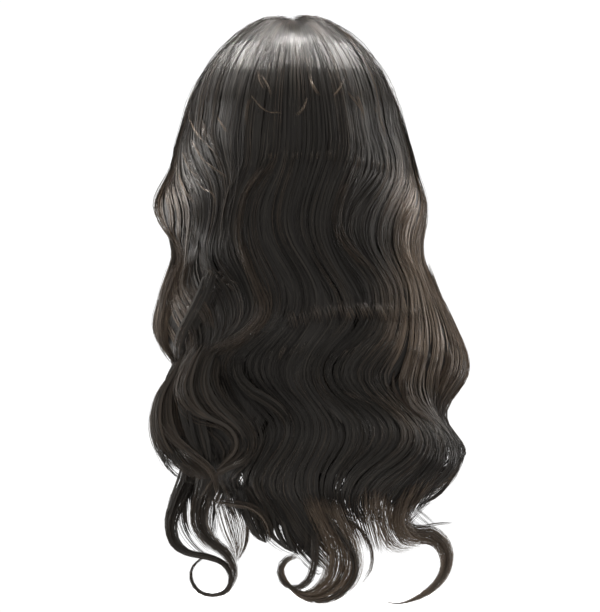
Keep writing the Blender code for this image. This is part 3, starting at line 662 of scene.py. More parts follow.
def dome_point(angle, share, depth):
    """The hair over the head, from its roots at share 0 to the head's widest level at share 1."""
    turn = math.radians(angle)
    root = root_direction(angle)
    foot = np.array((math.sin(turn), -math.cos(turn), 0.0))
    arc = math.acos(float(np.clip(root @ foot, -1, 1)))
    way = (math.sin((1 - share) * arc) * root + math.sin(share * arc) * foot) / math.sin(arc)
    lift = TOP_LIFT - PART_DIP * (1 - float(smooth(share / DIP_SHARE)))
    side_lift = lift + (ear_lift(angle) - TOP_LIFT) * share**SIDE_FULLNESS
    outer = np.array((HALF_WIDTH + side_lift, HALF_LENGTH + side_lift, CROWN_HEIGHT + lift)) * way
    inner = np.array((HALF_WIDTH + SKIN, HALF_LENGTH + SKIN, CROWN_HEIGHT + SKIN)) * way
    return outer + (inner - outer) * depth - np.array((0, 0, CROWN_HEIGHT))


def fall_point(angle, level, depth):
    """The hair below the head's widest level, level 0 to 1, from the outer face at depth 0."""
    levels = column(FALL_ROWS, 0)
    flare = eased(levels, column(FALL_ROWS, 2 if angle > 0 else 1), level)
    gather = eased(levels, column(FALL_ROWS, 3), level)
    sway = eased(levels, column(FALL_ROWS, 4), level)
    body = eased(levels, column(FALL_ROWS, 5), level)
    turn = math.radians(angle * (1 + (EDGE_ANGLE / FRONT_ANGLE - 1) * gather))
    wide, long = HALF_WIDTH + ear_lift(angle), HALF_LENGTH + ear_lift(angle)
    reach = wide + ((RIGHT_REACH if angle > 0 else LEFT_REACH) - wide) * flare
    back = long + (BACK_REACH - long) * gather + BACK_SWAY * sway
    plan = long + (FALL_DEPTH - long) * gather
    on_head = ear_lift(angle) - SKIN
    hanging = FALL_THICKNESS * (1 + (EDGE_BODY_SHARE - 1) * edge_share(angle))
    thick = (on_head + (hanging - on_head) * gather) * body * depth
    sideways, outward = wave(level, angle / FRONT_ANGLE)
    x = (reach - thick + outward) * math.sin(turn) + sideways
    y = -back + plan - (plan - thick + outward) * math.cos(turn)
    return np.array((x, y, -CROWN_HEIGHT - level * FALL_LENGTH))


def hair_point(angle, station, depth):
    """Stations run from -1 at the roots through 0 at the head's widest level to 1 at the lowest curl."""
    if station < 0:
        return dome_point(angle, station + 1, depth)
    return fall_point(angle, station, depth)


def curl_path(start, rows):
    """Points, headings and widths along a curl. A heading is an angle from straight down towards +X."""
    knots = [np.array(start)]
    for over, down, back, _ in rows:
        knots.append(knots[0] + np.array((over, -back, -down)) * CURL_RADIUS)
    widths = [rows[0][3], *column(rows, 3)]
    reach = reaches(knots)
    steps = round(reach[-1] / CURL_STEP)
    stops = [reach[-1] * k / steps for k in range(steps + 1)]
    points = [np.array([eased(reach, column(knots, axis), at) for axis in range(3)]) for at in stops]
    flows = [points[min(k + 1, steps)] - points[max(k - 1, 0)] for k in range(steps + 1)]
    headings = [math.atan2(flow[0], -flow[2]) for flow in flows]
    return points, np.unwrap(headings), [eased(reach, widths, at) for at in stops]


class Lane:
    """The form of a section of hair, as cuts from its roots to its tip.

    Each cut is a row of points on the outer face and a row on the inner one. A place in it is a cut, a
    share across and a share of the depth, and a place on its rim is a cut and an angle round the cut.
    """

    def __init__(self, outer, inner, fall, curl):
        self.outer, self.inner = np.array(outer), np.array(inner)
        self.along = reaches((self.outer.mean(axis=1) + self.inner.mean(axis=1)) / 2)
        self.width = np.linalg.norm(self.outer[:, -1] - self.outer[:, 0], axis=1)
        self.fall, self.curl = fall, curl  # the cuts where the hair leaves the head, and its curl begins
        self.last = len(self.along) - 1
        self.cuts = np.arange(self.last + 1)

    def point(self, cut, side, depth):
        cut = np.clip(cut, 0, self.last - 1e-6)
        i, count = cut.astype(int), self.outer.shape[1] - 1
        j = np.clip((side * count).astype(int), 0, count - 1)
        f, g = (cut - i)[:, None], (side * count - j)[:, None]

        def face(grid):
            low = grid[i, j] * (1 - g) + grid[i, j + 1] * g
            high = grid[i + 1, j] * (1 - g) + grid[i + 1, j + 1] * g
            return low * (1 - f) + high * f

        outer = face(self.outer)
        return outer + (face(self.inner) - outer) * depth[:, None]

    def sideways(self, cut, side, depth):
        return unit(self.point(cut, side + 0.05, depth) - self.point(cut, side - 0.05, depth))

    def outward(self, cut, side):
        return unit(self.point(cut, side, side * 0) - self.point(cut, side, side * 0 + 1))

    def rim(self, cut, turn, reach):
        """Points and outward directions at angles round the rim, 90 degrees being its outer face."""
        c, s = np.cos(turn), np.sin(turn)
        side = 0.5 + 0.5 * reach * np.sign(c) * np.abs(c) ** RIM_POWER
        depth = 0.5 - 0.5 * reach * np.sign(s) * np.abs(s) ** RIM_POWER
        lean = self.sideways(cut, side, depth) * (np.sign(c) * np.abs(c) ** RIM_LEAN)[:, None]
        rise = self.outward(cut, side) * (np.sign(s) * np.abs(s) ** RIM_POWER)[:, None]
        return self.point(cut, side, depth), unit(rise + lean)

    def cut_at(self, reach):
        return np.interp(reach, self.along, self.cuts)

    def reach_at(self, cut):
        return np.interp(cut, self.cuts, self.along)

    def room(self, cut, full):
        """How much of its full size a hair keeps where the lane is narrow."""
        return np.clip(np.interp(cut, self.cuts, self.width) / full, 0.25, 1.0)

    def rates(self):
        """Shares of the width that the hair crosses from each cut to the next, to run as in the photo.

        Only the part of the outer face that looks at the camera takes them, between the head and the curl.
        """
        places = self.outer
        down = np.gradient(places, axis=0)
        over = np.gradient(places, axis=1) * (places.shape[1] - 1)
        outward = unit(places - self.inner)
        slope = photo_slope(places, down)
        rates = (-slope * down[..., 2] - down[..., 0]) / np.maximum(over[..., 0] + slope * over[..., 2], 1e-4)
        cuts = self.cuts[:, None]
        there = smooth((cuts - self.fall) / 6) * smooth((self.curl - cuts) / 8)
        there = there * smooth((-0.2 - outward[..., 1]) / 0.3) * (over[..., 0] > 0.004)
        return np.clip(rates, -FLOW_RATE, FLOW_RATE) * there

    def followed(self, cuts, sides):
        """The shares across at every cut, of hairs that pass through these cuts and shares."""
        rates, shares = self.rates(), np.linspace(0, 1, self.outer.shape[1])
        paths = np.zeros((len(cuts), self.last + 1))
        for path, start, side in zip(paths, cuts.astype(int), sides):
            path[start] = side
            for cut in range(start, self.last):
                path[cut + 1] = path[cut] + np.interp(path[cut], shares, rates[cut])
            for cut in range(start, 0, -1):
                path[cut - 1] = path[cut] - np.interp(path[cut], shares, rates[cut - 1])
        return paths


def photo_slope(places, ways):
    """Sideways for each metre down that the hair runs at places on the wig, as on the photograph."""
    points, headings = [], []
    for line in map(spots, FLOW_LINES):
        for low, high in zip(line, line[1:]):
            length = math.dist(low, high)
            count = max(1, round(length / FLOW_STEP))
            points += [low + (high - low) * ((k + 0.5) / count) for k in range(count)]
            headings += [(high - low) / length] * count
    points, headings = np.array(points), np.array(headings)
    x = PIXEL_X + places[..., 0] / PIXEL
    y = PIXEL_Y + (PIXEL_TOP - places[..., 2]) / PIXEL
    own = unit(np.stack((ways[..., 0], -ways[..., 2]), axis=-1))
    gaps = (x[..., None] - points[:, 0]) ** 2 + (y[..., None] - points[:, 1]) ** 2
    weights = np.exp(-gaps / (2 * FLOW_REACH**2))
    lead = np.einsum("abm,mc->abc", weights, headings) + own * FLOW_SHARE
    return np.clip(lead[..., 0] / np.maximum(lead[..., 1], 1e-6), -FLOW_STEEPEST, FLOW_STEEPEST)


def section_lane(first, last, end, rows):
    """The lane of a section between two angles, with its curl."""
    stations = [k / DOME_CUTS - 1 for k in range(DOME_CUTS)]
    stations += [end * k / round(end * FALL_CUTS) for k in range(round(end * FALL_CUTS) + 1)]
    shares = np.linspace(0, 1, ACROSS_CUTS)
    outer, inner = [], []
    for station in stations:
        draw = float(smooth((station - end + TAPER_SHARE) / TAPER_SHARE))
        from_side, from_outer, from_inner = (share * draw for share in DRAW_SHARES)
        low, high = first + (last - first) * from_side, last - (last - first) * from_side
        angles = low + (high - low) * shares
        outer.append([hair_point(angle, station, from_outer) for angle in angles])
        inner.append([hair_point(angle, station, 1 - from_inner) for angle in angles])
    curl = len(outer) - 1
    outer_end, inner_end = np.array(outer[-1]), np.array(inner[-1])
    centre = (outer_end.mean(axis=0) + inner_end.mean(axis=0)) / 2
    points, headings, widths = curl_path(centre, rows)
    over = (shares * 2 - 1)[:, None]
    for k in range(1, len(points)):
        way = k / (len(points) - 1)
        wide = max(TIP_WIDTH, CURL_WIDTH * widths[k] * (1 - way**4))
        thick = TIP_WIDTH + (CURL_THICKNESS * min(1.0, widths[k]) - TIP_WIDTH) * (1 - way**3)
        side = np.array((math.cos(headings[k]), 0, math.sin(headings[k])))
        deep = thick / 2 * (CURL_EDGE_SHARE + (1 - CURL_EDGE_SHARE) * np.sqrt(1 - over**2))
        blend = float(smooth(k * CURL_STEP / (2 * CURL_WIDTH)))
        for rows_out, flat, sign in ((outer, outer_end, -1), (inner, inner_end, 1)):
            oval = points[k] + side * over * wide / 2 + np.array((0, sign, 0)) * deep
            rows_out.append((points[k] + flat - centre) * (1 - blend) + oval * blend)
    return Lane(outer, inner, DOME_CUTS, curl)


def under_lane():
    """The lane of the layer under the sections, which grows on the nape band."""
    start, width_loss, thickness_loss = UNDER_DRAW_SHARES
    top = (NAPE_DROP - BAND_HEIGHT - CROWN_HEIGHT) / FALL_LENGTH
    shares = np.linspace(-1, 1, ACROSS_CUTS)
    outer, inner = [], []
    for level in np.linspace(top, UNDER_END_SHARE, FALL_CUTS):
        drop = CROWN_HEIGHT + level * FALL_LENGTH
        free = float(smooth((drop - NAPE_DROP) / (UNDER_FREE_SHARE * FALL_LENGTH)))
        draw = float(smooth((level / UNDER_END_SHARE - start) / (1 - start)))
        half = UNDER_ANGLE * (1 - width_loss * draw)
        body = eased(column(FALL_ROWS, 0), column(FALL_ROWS, 5), level) * (1 - thickness_loss * draw)
        outer.append([])
        inner.append([])
        for share in shares:
            face = fall_point(half * share, level, 1)
            inward = unit(face - fall_point(half * share, level, 0))
            outer[-1].append(face + inward * UNDER_GAP)
            thick = UNDER_THICKNESS * body * math.sqrt(1 + (UNDER_EDGE_SHARE - 1) * share**2)
            hung = outer[-1][-1] + inward * thick
            on_cap = head_point(half * share, min(drop, NAPE_DROP), BAND_WALL + HAIR_CLEARANCE)
            on_cap = np.array((on_cap[0], on_cap[1], face[2]))
            inner[-1].append(on_cap + (hung - on_cap) * free)
    return Lane(outer, inner, 0, FALL_CUTS - 1)


# What each point of a piece carries, besides its place.
POINT_FACTS = {
    "face": "FLOAT_VECTOR",  # the way a lock's flat side looks
    "size": "FLOAT",  # half of a lock's or band's width, or a strand's radius
    "spread": "FLOAT",  # how far the copies of a strand stand from it
    "along": "FLOAT",  # metres from the roots, or from a row's start
    "share": "FLOAT",  # 0 to 1 along a line, or metres from a cloth's lower edge
    "girth": "FLOAT",  # metres of pattern round the line
    "shift": "FLOAT",  # where the lock lies on the strand pattern
    # The tone holds the hair's own random shade and painted light: backlight at the thin sides, light through
    # the tips, and painted highlights.
    "tone": "FLOAT",  # 0 for the darkest hair to 1 for the warmest
    "kind": "INT",
}
BACKING, LOCK, STRAND, CLOTH, BAND, SEAM = range(6)


class Tress:
    """Gathers the faces and lines of one piece of hair or cap, then makes its source mesh."""

    def __init__(self):
        self.points, self.edges, self.faces, self.corners = [], [], [], []
        self.facts = {name: [] for name in POINT_FACTS}
        self.count = 0

    def add(self, points, **facts):
        """Adds points with their facts, each an array or one value, and returns the first one's number."""
        first = self.count
        self.points.append(points)
        self.count += len(points)
        for name, kind in POINT_FACTS.items():
            wide = (3,) if kind == "FLOAT_VECTOR" else ()
            value = facts.get(name, (0, 0, 1) if wide else 0)
            self.facts[name].append(np.broadcast_to(np.asarray(value, float), (len(points), *wide)))
        return first

    def line(self, points, **facts):
        """Adds a lock, strand, band or seam as a row of points joined by edges."""
        first = self.add(points, **facts)
        numbers = np.arange(first, first + len(points) - 1)
        self.edges.append(np.stack((numbers, numbers + 1), axis=1))

    def tube(self, rings, along, **facts):
        """Adds a closed surface through rings, with its strand pattern running along it."""
        rows, around = rings.shape[:2]
        first = self.add(rings.reshape(-1, 3), **facts)
        steps = np.linalg.norm(np.roll(rings, -1, axis=1) - rings, axis=2).mean(axis=0)
        girth = np.concatenate(((0.0,), np.cumsum(steps)))
        for k in range(rows - 1):
            for j in range(around):
                after = (j + 1) % around
                low, high = first + k * around, first + (k + 1) * around
                self.faces.append((low + j, low + after, high + after, high + j))
                self.corners += [(girth[j], along[k]), (girth[j + 1], along[k])]
                self.corners += [(girth[j + 1], along[k + 1]), (girth[j], along[k + 1])]
        for ring, at in ((range(around - 1, -1, -1), 0), (range(around), rows - 1)):
            self.faces.append(tuple(first + at * around + j for j in ring))
            self.corners += [(girth[j], along[at]) for j in ring]

    def mesh(self, name):
        data = bpy.data.meshes.new(name)
        edges = np.concatenate(self.edges) if self.edges else np.zeros((0, 2), int)
        data.from_pydata(np.concatenate(self.points).tolist(), edges.tolist(), self.faces)
        for fact, kind in POINT_FACTS.items():
            number = np.int32 if kind == "INT" else np.float32
            values = np.concatenate(self.facts[fact]).ravel().astype(number)
            field = "vector" if kind == "FLOAT_VECTOR" else "value"
            data.attributes.new(fact, kind, "POINT").data.foreach_set(field, values)
        layer = data.uv_layers.new(name=HAIR_MAP)
        layer.data.foreach_set("uv", np.array(self.corners, np.float32).ravel())
        return data


def add(tree, kind, inputs=(), out=0, **settings):
    """Adds a node with its settings and links, and returns one of its outputs.

    Inputs are given in order, or by name or number, as a value, a socket or a list of sockets to join.
    """
    node = tree.nodes.new(kind)
    for name, value in settings.items():
        setattr(node, name, value)
    for key, value in inputs.items() if isinstance(inputs, dict) else enumerate(inputs):
        for part in value if isinstance(value, list) else (value,):
            if isinstance(part, bpy.types.NodeSocket):
                tree.links.new(part, node.inputs[key])
            else:
                node.inputs[key].default_value = part
    return node.outputs[out] if len(node.outputs) else None


def new_tree(name, inputs):
    """A geometry tree and its inputs' sockets. Inputs are rows of a name, a kind of socket and a default."""
    tree = bpy.data.node_groups.new(name, "GeometryNodeTree")
    tree.interface.new_socket(name="Geometry", in_out="OUTPUT", socket_type="NodeSocketGeometry")
    for label, kind, default in (("Geometry", "Geometry", None), *inputs):
        socket = tree.interface.new_socket(name=label, in_out="INPUT", socket_type="NodeSocket" + kind)
        if default is not None:
            socket.default_value = default
    return tree, tree.nodes.new("NodeGroupInput").outputs


def parted(tree, geometry, kind, domain):
    """Parts the points or curves of one kind from the rest, and returns both."""
    inputs = {2: add(tree, FACT, ("kind",), data_type="INT"), 3: kind}
    same = add(tree, "FunctionNodeCompare", inputs, data_type="INT", operation="EQUAL")
    inputs = {"Geometry": geometry, "Selection": same}
    return add(tree, "GeometryNodeSeparateGeometry", inputs, domain=domain).node.outputs


def tubes(tree, curves, sides, flatness, creased):
    """Gives curves a closed body of their size, with their strand pattern, and returns the mesh socket."""
    number = add(tree, ON_DOMAIN, (add(tree, INDEX),), domain="CURVE", data_type="INT")
    curves = add(tree, STORE, {"Geometry": curves, "Name": "number", "Value": number}, data_type="INT")
    inputs = {"Curve": curves, "Normal": add(tree, FACT, ("face",), data_type="FLOAT_VECTOR")}
    curves = add(tree, "GeometryNodeSetCurveNormal", inputs, mode="FREE")
    circle = add(tree, "GeometryNodeCurvePrimitiveCircle", {"Resolution": sides, "Radius": 1.0})
    # The profile starts on the side that looks inwards, so that the pattern's seam is hidden.
    scale = add(tree, PARTS, (flatness, 1.0, 1.0))
    inputs = {"Geometry": circle, "Rotation": (0, 0, math.pi), "Scale": scale}
    profile = add(tree, "GeometryNodeTransform", inputs)
    profile = add(tree, STORE, {"Geometry": profile, "Name": "column", "Value": add(tree, INDEX)})
    size = add(tree, FACT, ("size",))
    inputs = {"Curve": curves, "Profile Curve": profile, "Scale": size, "Fill Caps": True}
    body = add(tree, "GeometryNodeCurveToMesh", inputs)
    here = add(tree, FACT, ("column",))
    if creased:
        # The two outer edges of a lock of three sides stay sharp, so that its face looks flat and not round.
        edges = [add(tree, MATHS, (here, edge, 0.01), operation="COMPARE") for edge in (1.0, 2.0)]
        inputs = {"Geometry": body, "Name": "sharp_edge", "Value": add(tree, MATHS, edges, operation="ADD")}
        body = add(tree, STORE, inputs, data_type="BOOLEAN", domain="EDGE")
    # Round each ring the pattern runs from 0 to 1. The face that closes the ring has the highest and the
    # lowest column, which its spread gives away, and there the lowest counts as one turn.
    square = add(tree, MATHS, (here, here), operation="MULTIPLY")
    mean, mean_square = (add(tree, ON_DOMAIN, (value,), domain="FACE") for value in (here, square))
    square_mean = add(tree, MATHS, (mean, mean), operation="MULTIPLY")
    variance = add(tree, MATHS, (mean_square, square_mean), operation="SUBTRACT")
    closing = add(tree, MATHS, (variance, 0.3), operation="GREATER_THAN")
    lowest = add(tree, MATHS, (here, 0.5), operation="LESS_THAN")
    turn = add(tree, MATHS, (closing, lowest), operation="MULTIPLY")
    turn = add(tree, MATHS, (turn, sides), operation="MULTIPLY")
    turned = add(tree, MATHS, (here, turn), operation="ADD")
    round_share = add(tree, MATHS, (turned, sides), operation="DIVIDE")
    over = add(tree, MATHS, (round_share, add(tree, FACT, ("girth",))), operation="MULTIPLY")
    over = add(tree, MATHS, (over, add(tree, FACT, ("shift",))), operation="ADD")
    for name, u, fact in ((HAIR_MAP, over, "along"), ("strip", round_share, "share")):
        place = add(tree, PARTS, (u, add(tree, FACT, (fact,))))
        inputs = {"Geometry": body, "Name": name, "Value": place}
        body = add(tree, STORE, inputs, data_type="FLOAT2", domain="CORNER")
    return body


def hair_tree():
    """The tree that turns a tress's rows of points into locks and strands."""
    inputs = (
        ("Lock Sides", "Int", 3),
        ("Lock Flatness", "Float", 0.22),
        ("Strand Sides", "Int", 3),
        ("Strand Copies", "Int", 5),
        ("Wander", "Float", 0.0016),
        ("Wander Length", "Float", 0.060),
        ("Seed", "Int", 1),
        ("Hair", "Material", None),
    )
    tree, given = new_tree("Wig Hair", inputs)
    backing, lines = parted(tree, given["Geometry"], BACKING, "POINT")
    locks, guides = parted(tree, add(tree, "GeometryNodeMeshToCurve", (lines,)), LOCK, "CURVE")
    locks = tubes(tree, locks, given["Lock Sides"], given["Lock Flatness"], True)
    # Each strand is copied, and the copies spread round it and wander along their way.
    inputs = {"Geometry": guides, "Amount": given["Strand Copies"]}
    copies = add(tree, "GeometryNodeDuplicateElements", inputs, domain="SPLINE")
    number = add(tree, ON_DOMAIN, (add(tree, INDEX),), domain="CURVE", data_type="INT")
    chance = []
    for draw in range(3):
        seed = add(tree, MATHS, (given["Seed"], float(draw)), operation="ADD")
        inputs = {2: -1.0, 3: 1.0, "ID": number, "Seed": seed}
        chance.append(add(tree, "FunctionNodeRandomValue", inputs, 1, data_type="FLOAT"))
    face = add(tree, FACT, ("face",), data_type="FLOAT_VECTOR")
    tangent = add(tree, "GeometryNodeInputTangent")
    sideways = add(tree, VECTORS, (tangent, face), operation="CROSS_PRODUCT")
    spread = add(tree, FACT, ("spread",))
    over, out = (add(tree, MATHS, (draw, spread), operation="MULTIPLY") for draw in chance[:2])
    out = add(tree, MATHS, (out, 0.3), operation="MULTIPLY")
    over = add(tree, VECTORS, {0: sideways, "Scale": over}, operation="SCALE")
    out = add(tree, VECTORS, {0: face, "Scale": out}, operation="SCALE")
    place = add(tree, "GeometryNodeInputPosition")
    scale = add(tree, MATHS, (1.0, given["Wander Length"]), operation="DIVIDE")
    apart = add(tree, MATHS, (chance[2], 40.0), operation="MULTIPLY")
    inputs = {"Vector": place, "W": apart, "Scale": scale, "Detail": 1.0}
    noise = add(tree, NOISE, inputs, "Color", noise_dimensions="4D")
    noise = add(tree, VECTORS, (noise, (0.5, 0.5, 0.5)), operation="SUBTRACT")
    amount = add(tree, MATHS, (given["Wander"], 2.0), operation="MULTIPLY")
    noise = add(tree, VECTORS, {0: noise, "Scale": amount}, operation="SCALE")
    offset = add(tree, VECTORS, (over, out), operation="ADD")
    offset = add(tree, VECTORS, (offset, noise), operation="ADD")
    strands = add(tree, "GeometryNodeSetPosition", {"Geometry": copies, "Offset": offset})
    # A copy's own shade, on top of its guide's.
    tone = add(tree, MATHS, (chance[0], 0.12), operation="MULTIPLY")
    tone = add(tree, MATHS, (add(tree, FACT, ("tone",)), tone), operation="ADD")
    strands = add(tree, STORE, {"Geometry": strands, "Name": "tone", "Value": tone})
    strands = tubes(tree, strands, given["Strand Sides"], 1.0, False)
    joined = add(tree, "GeometryNodeJoinGeometry", ([backing, locks, strands],))
    soft = add(tree, "GeometryNodeSetShadeSmooth", {"Geometry": joined, "Shade Smooth": True})
    real = add(tree, "GeometryNodeRealizeInstances", (soft,))
    worn = add(tree, "GeometryNodeSetMaterial", {"Geometry": real, "Material": given["Hair"]})
    add(tree, "NodeGroupOutput", (worn,))
    return tree


def grown(name, source, tree, values):
    """Runs a geometry tree on a source mesh and returns its result as a plain object of this name."""
    seedling = bpy.data.objects.new(name + "_source", source)
    bpy.context.scene.collection.objects.link(seedling)
    modifier = seedling.modifiers.new("grow", "NODES")
    modifier.node_group = tree
    sockets = {s.name: s.identifier for s in tree.interface.items_tree if s.in_out == "INPUT"}
    for label, value in values.items():
        modifier[sockets[label]] = value
    bpy.context.view_layer.update()
    seen = seedling.evaluated_get(bpy.context.evaluated_depsgraph_get())
    data = bpy.data.meshes.new_from_object(seen)
    data.name = name
    bpy.data.objects.remove(seedling)
    bpy.data.meshes.remove(source)
    thing = bpy.data.objects.new(name, data)
    bpy.context.scene.collection.objects.link(thing)
    return thing


def linear(code):
    """A colour's sRGB hex code as linear values."""
    values = [int(code[k : k + 2], 16) / 255 for k in (1, 3, 5)]
    return [v / 12.92 if v <= 0.04045 else ((v + 0.055) / 1.055) ** 2.4 for v in values]


def ends(share, start, end):
    """1 along a lock, easing to 0 over these shares of it at its two ends."""
    return np.sqrt(smooth(share / start)) * np.sqrt(smooth((1 - share) / end))


def backing_of(tress, lane, chance):
    """The dark body of a section, just inside its form, with ridges where its locks lie.

    It narrows in the curl and ends there, so that the strands at the tip stand apart and show light.
    """
    finish = lane.curl + BACKING_CURL_SHARE * (lane.last - lane.curl)
    cuts = np.append(np.arange(0, finish, 1.5), finish)
    turns = np.linspace(0, 2 * math.pi, BACKING_POINTS, endpoint=False)[::-1]
    phases = chance.uniform(0, 2 * math.pi, 4)
    rings = []
    for cut, reach in zip(cuts, lane.reach_at(cuts)):
        late = (cut - lane.curl + BACKING_FADE_CUTS) / (finish - lane.curl + BACKING_FADE_CUTS)
        points, faces = lane.rim(np.full(BACKING_POINTS, cut), turns, 1 - 0.93 * float(smooth(late)))
        ridge = np.sin(7 * turns + phases[0] + 14 * reach) + 0.6 * np.sin(13 * turns + phases[1] - 22 * reach)
        on_head = 0.25 + 0.75 * float(smooth(cut / lane.fall)) if lane.fall else 1.0
        room = min(1.0, float(np.interp(cut, lane.cuts, lane.width)) / 0.05)
        rings.append(points - faces * ((BACKING_INSET + BACKING_RIDGE * ridge * on_head) * room)[:, None])
    tress.tube(np.array(rings), lane.reach_at(cuts), kind=BACKING, tone=0.1)


def steps_of(lane, start, end, detail):
    """The cuts at which a hair is drawn between two cuts: few on the head, more in waves, most in curls."""
    gap = np.interp(lane.cuts, (0, lane.fall, lane.fall + 14, lane.curl - 6, lane.curl + 4), HAIR_STEPS)
    worth = np.concatenate(((0.0,), np.cumsum(np.diff(lane.along) / gap[1:])))
    first, last = np.interp((start, end), lane.cuts, worth)
    count = max(4, round((last - first) * detail))
    return np.interp(np.linspace(first, last, count + 1), worth, lane.cuts)


def outer_hairs(lane, count, chance, longest, open_side, curl_share):
    """Hairs on a lane's outer face. Each gives its cuts, its shares across, how far along itself it is,
    whether it starts and ends inside the lane, its points and the ways that they face.

    Each starts from its own place on the face, and runs up and down from there the way that the hair does.
    """
    low = OPEN_EDGE if open_side == "low" else -SIDE_MARGIN
    high = 1 - OPEN_EDGE if open_side == "high" else 1 + SIDE_MARGIN
    number = np.arange(count)
    reach = ((0.5 + number * SPREAD_ALONG) % 1) * (lane.along[-1] + longest) - longest / 2
    sides = low + (high - low) * ((0.5 + number * SPREAD_ACROSS) % 1)
    seeds = lane.cut_at(np.clip(reach, 0, lane.along[-1] - 1e-6))
    for path, middle, seed in zip(lane.followed(seeds, sides), reach, seeds.astype(int)):
        outside = (path < low) | (path > high)
        before, after = np.nonzero(outside[:seed])[0], np.nonzero(outside[seed:])[0]
        first = before[-1] + 1 if len(before) else 0
        last = seed + after[0] - 1 if len(after) else lane.last
        half = longest * chance.uniform(0.28, 0.5)
        start = max(first, lane.cut_at(middle - half))
        end = min(last, lane.cut_at(middle + half))
        end = min(end, lane.curl + curl_share * (lane.last - lane.curl) * chance.uniform(0.5, 1.0))
        if end - start < 5:
            continue
        cut = steps_of(lane, start, end, 1.0)
        side = np.interp(cut, lane.cuts, path)
        side = side + (np.clip(side, 0.02, 0.98) - side) * smooth((cut - lane.curl) / 6)
        # The face turns in where a section's edge stands free beside the face.
        near = side if open_side == "low" else 1 - side
        deep = 0.5 * np.clip(1 - near / FACE_TURN, 0, 1) ** 2 if open_side else side * 0
        inside = (start > 0, end < lane.last - 2)
        share = (cut - start) / (end - start)
        yield cut, side, share, inside, lane.point(cut, side, deep), lane.outward(cut, side)


def inner_hairs(lane, count, chance):
    """Hairs round the edges and the inner face of a lane, which run as it does: cuts, angles and shares."""
    for k in range(count):
        turn = math.radians(172 + 196 * ((k * GOLDEN) % 1))
        start = 0.0 if chance.random() < 0.5 else chance.uniform(0.02, 0.4) * lane.last
        final = lane.curl + 0.4 * (lane.last - lane.curl)
        end = start + (final - start) * chance.uniform(0.6, 1.0)
        cut = steps_of(lane, start, end, 0.8)
        drift = 0.05 * np.sin(lane.reach_at(cut) / 0.05 + chance.uniform(0, 6.28))
        yield cut, turn + drift, (cut - start) / (end - start)


def locks_of(tress, lane, count, outer_share, chance, settings, open_side):
    """Flat locks, each a few dozen hairs wide, which cover the backing."""

    def lay(points, faces, cut, share, size):
        # Random tone, with painted backlight at the thin sides and painted light towards the tips.
        tone = 0.1 + 0.35 * chance.random() ** 2 + painted_backlight_of(points) + painted_tip_light_of(lane, cut)
        half = size * settings.lock_width / 2 * lane.room(cut, 0.06) * ends(share, 0.12, 0.18) + LOCK_LEAST
        facts = {"along": lane.reach_at(cut), "share": share, "shift": chance.uniform(0, 8), "tone": tone}
        tress.line(points, face=faces, size=half, girth=settings.lock_width * 2.6, kind=LOCK, **facts)

    outer = round(count * outer_share)
    for hair in outer_hairs(lane, outer, chance, LOCK_LONGEST, open_side, 0.4):
        cut, side, share, (tucked, cut_off), points, faces = hair
        lift = chance.uniform(0.0005, 0.0013)
        sunk = (1 - smooth(share / 0.2)) * tucked + (1 - smooth((1 - share) / 0.2)) * cut_off
        tilted = unit(faces + lane.sideways(cut, side, side * 0) * chance.uniform(-0.08, 0.08))
        points = points + faces * (lift - LOCK_SINK * sunk - LOCK_SINK)[:, None]
        lay(points, tilted, cut, share, chance.uniform(0.6, 1.3))
    for cut, turn, share in inner_hairs(lane, count - outer, chance):
        lay(*lane.rim(cut, turn, chance.uniform(0.95, 1.03)), cut, share, chance.uniform(0.9, 1.6))


def strands_of(tress, lane, count, outer_share, chance, settings, open_side):
    """Guides of fine strands over the locks. Each one's copies lie round it."""

    def lay(points, faces, cut, share):
        facts = {"along": lane.reach_at(cut), "share": share, "shift": chance.uniform(0, 8), "girth": 0.001}
        # Random tone, with painted backlight at the thin sides and painted light towards the tips.
        tone = 0.1 + 0.9 * chance.random() ** 2 + painted_backlight_of(points) + painted_tip_light_of(lane, cut)
        size = settings.strand_radius * (0.2 + 0.8 * ends(share, 0.2, 0.3))
        spread = settings.strand_spread * lane.room(cut, 0.05)
        tress.line(points, face=faces, size=size, spread=spread, tone=tone, kind=STRAND, **facts)

    outer = round(count * outer_share)
    for cut, _, share, _, points, faces in outer_hairs(lane, outer, chance, STRAND_LONGEST, open_side, 0.6):
        lay(points + faces * chance.uniform(0.0, 0.0012), faces, cut, share)
    for cut, turn, share in inner_hairs(lane, count - outer, chance):
        lay(*lane.rim(cut, turn, chance.uniform(1.0, 1.05)), cut, share)


class Surface:
    """The side of the whole hair that looks at the camera, to lay single hairs on."""

    def __init__(self, lanes):
        points = []
        for lane in lanes:
            faces = unit(lane.outer - lane.inner)[: lane.curl]
            points.append(lane.outer[: lane.curl][faces[..., 1] < -0.1])
        self.points = np.concatenate(points)

    def at(self, x, z):
        """The frame's Y of the hair at these places."""
        gaps = (self.points[:, 0] - x[:, None]) ** 2 + (self.points[:, 2] - z[:, None]) ** 2
        weights = 1 / (gaps + 4e-6) ** 2
        return (weights * self.points[:, 1]).sum(axis=1) / weights.sum(axis=1)


def traced(line, shares):
    """Places at shares of the length of a line that was traced on the photograph, and that length."""
    knots = np.stack(pixel_place(*spots(line).T), axis=1)
    reach = reaches(knots)
    places = [[eased(reach, knots[:, axis], share * reach[-1]) for axis in (0, 1)] for share in shares]
    return np.array(places), reach[-1]


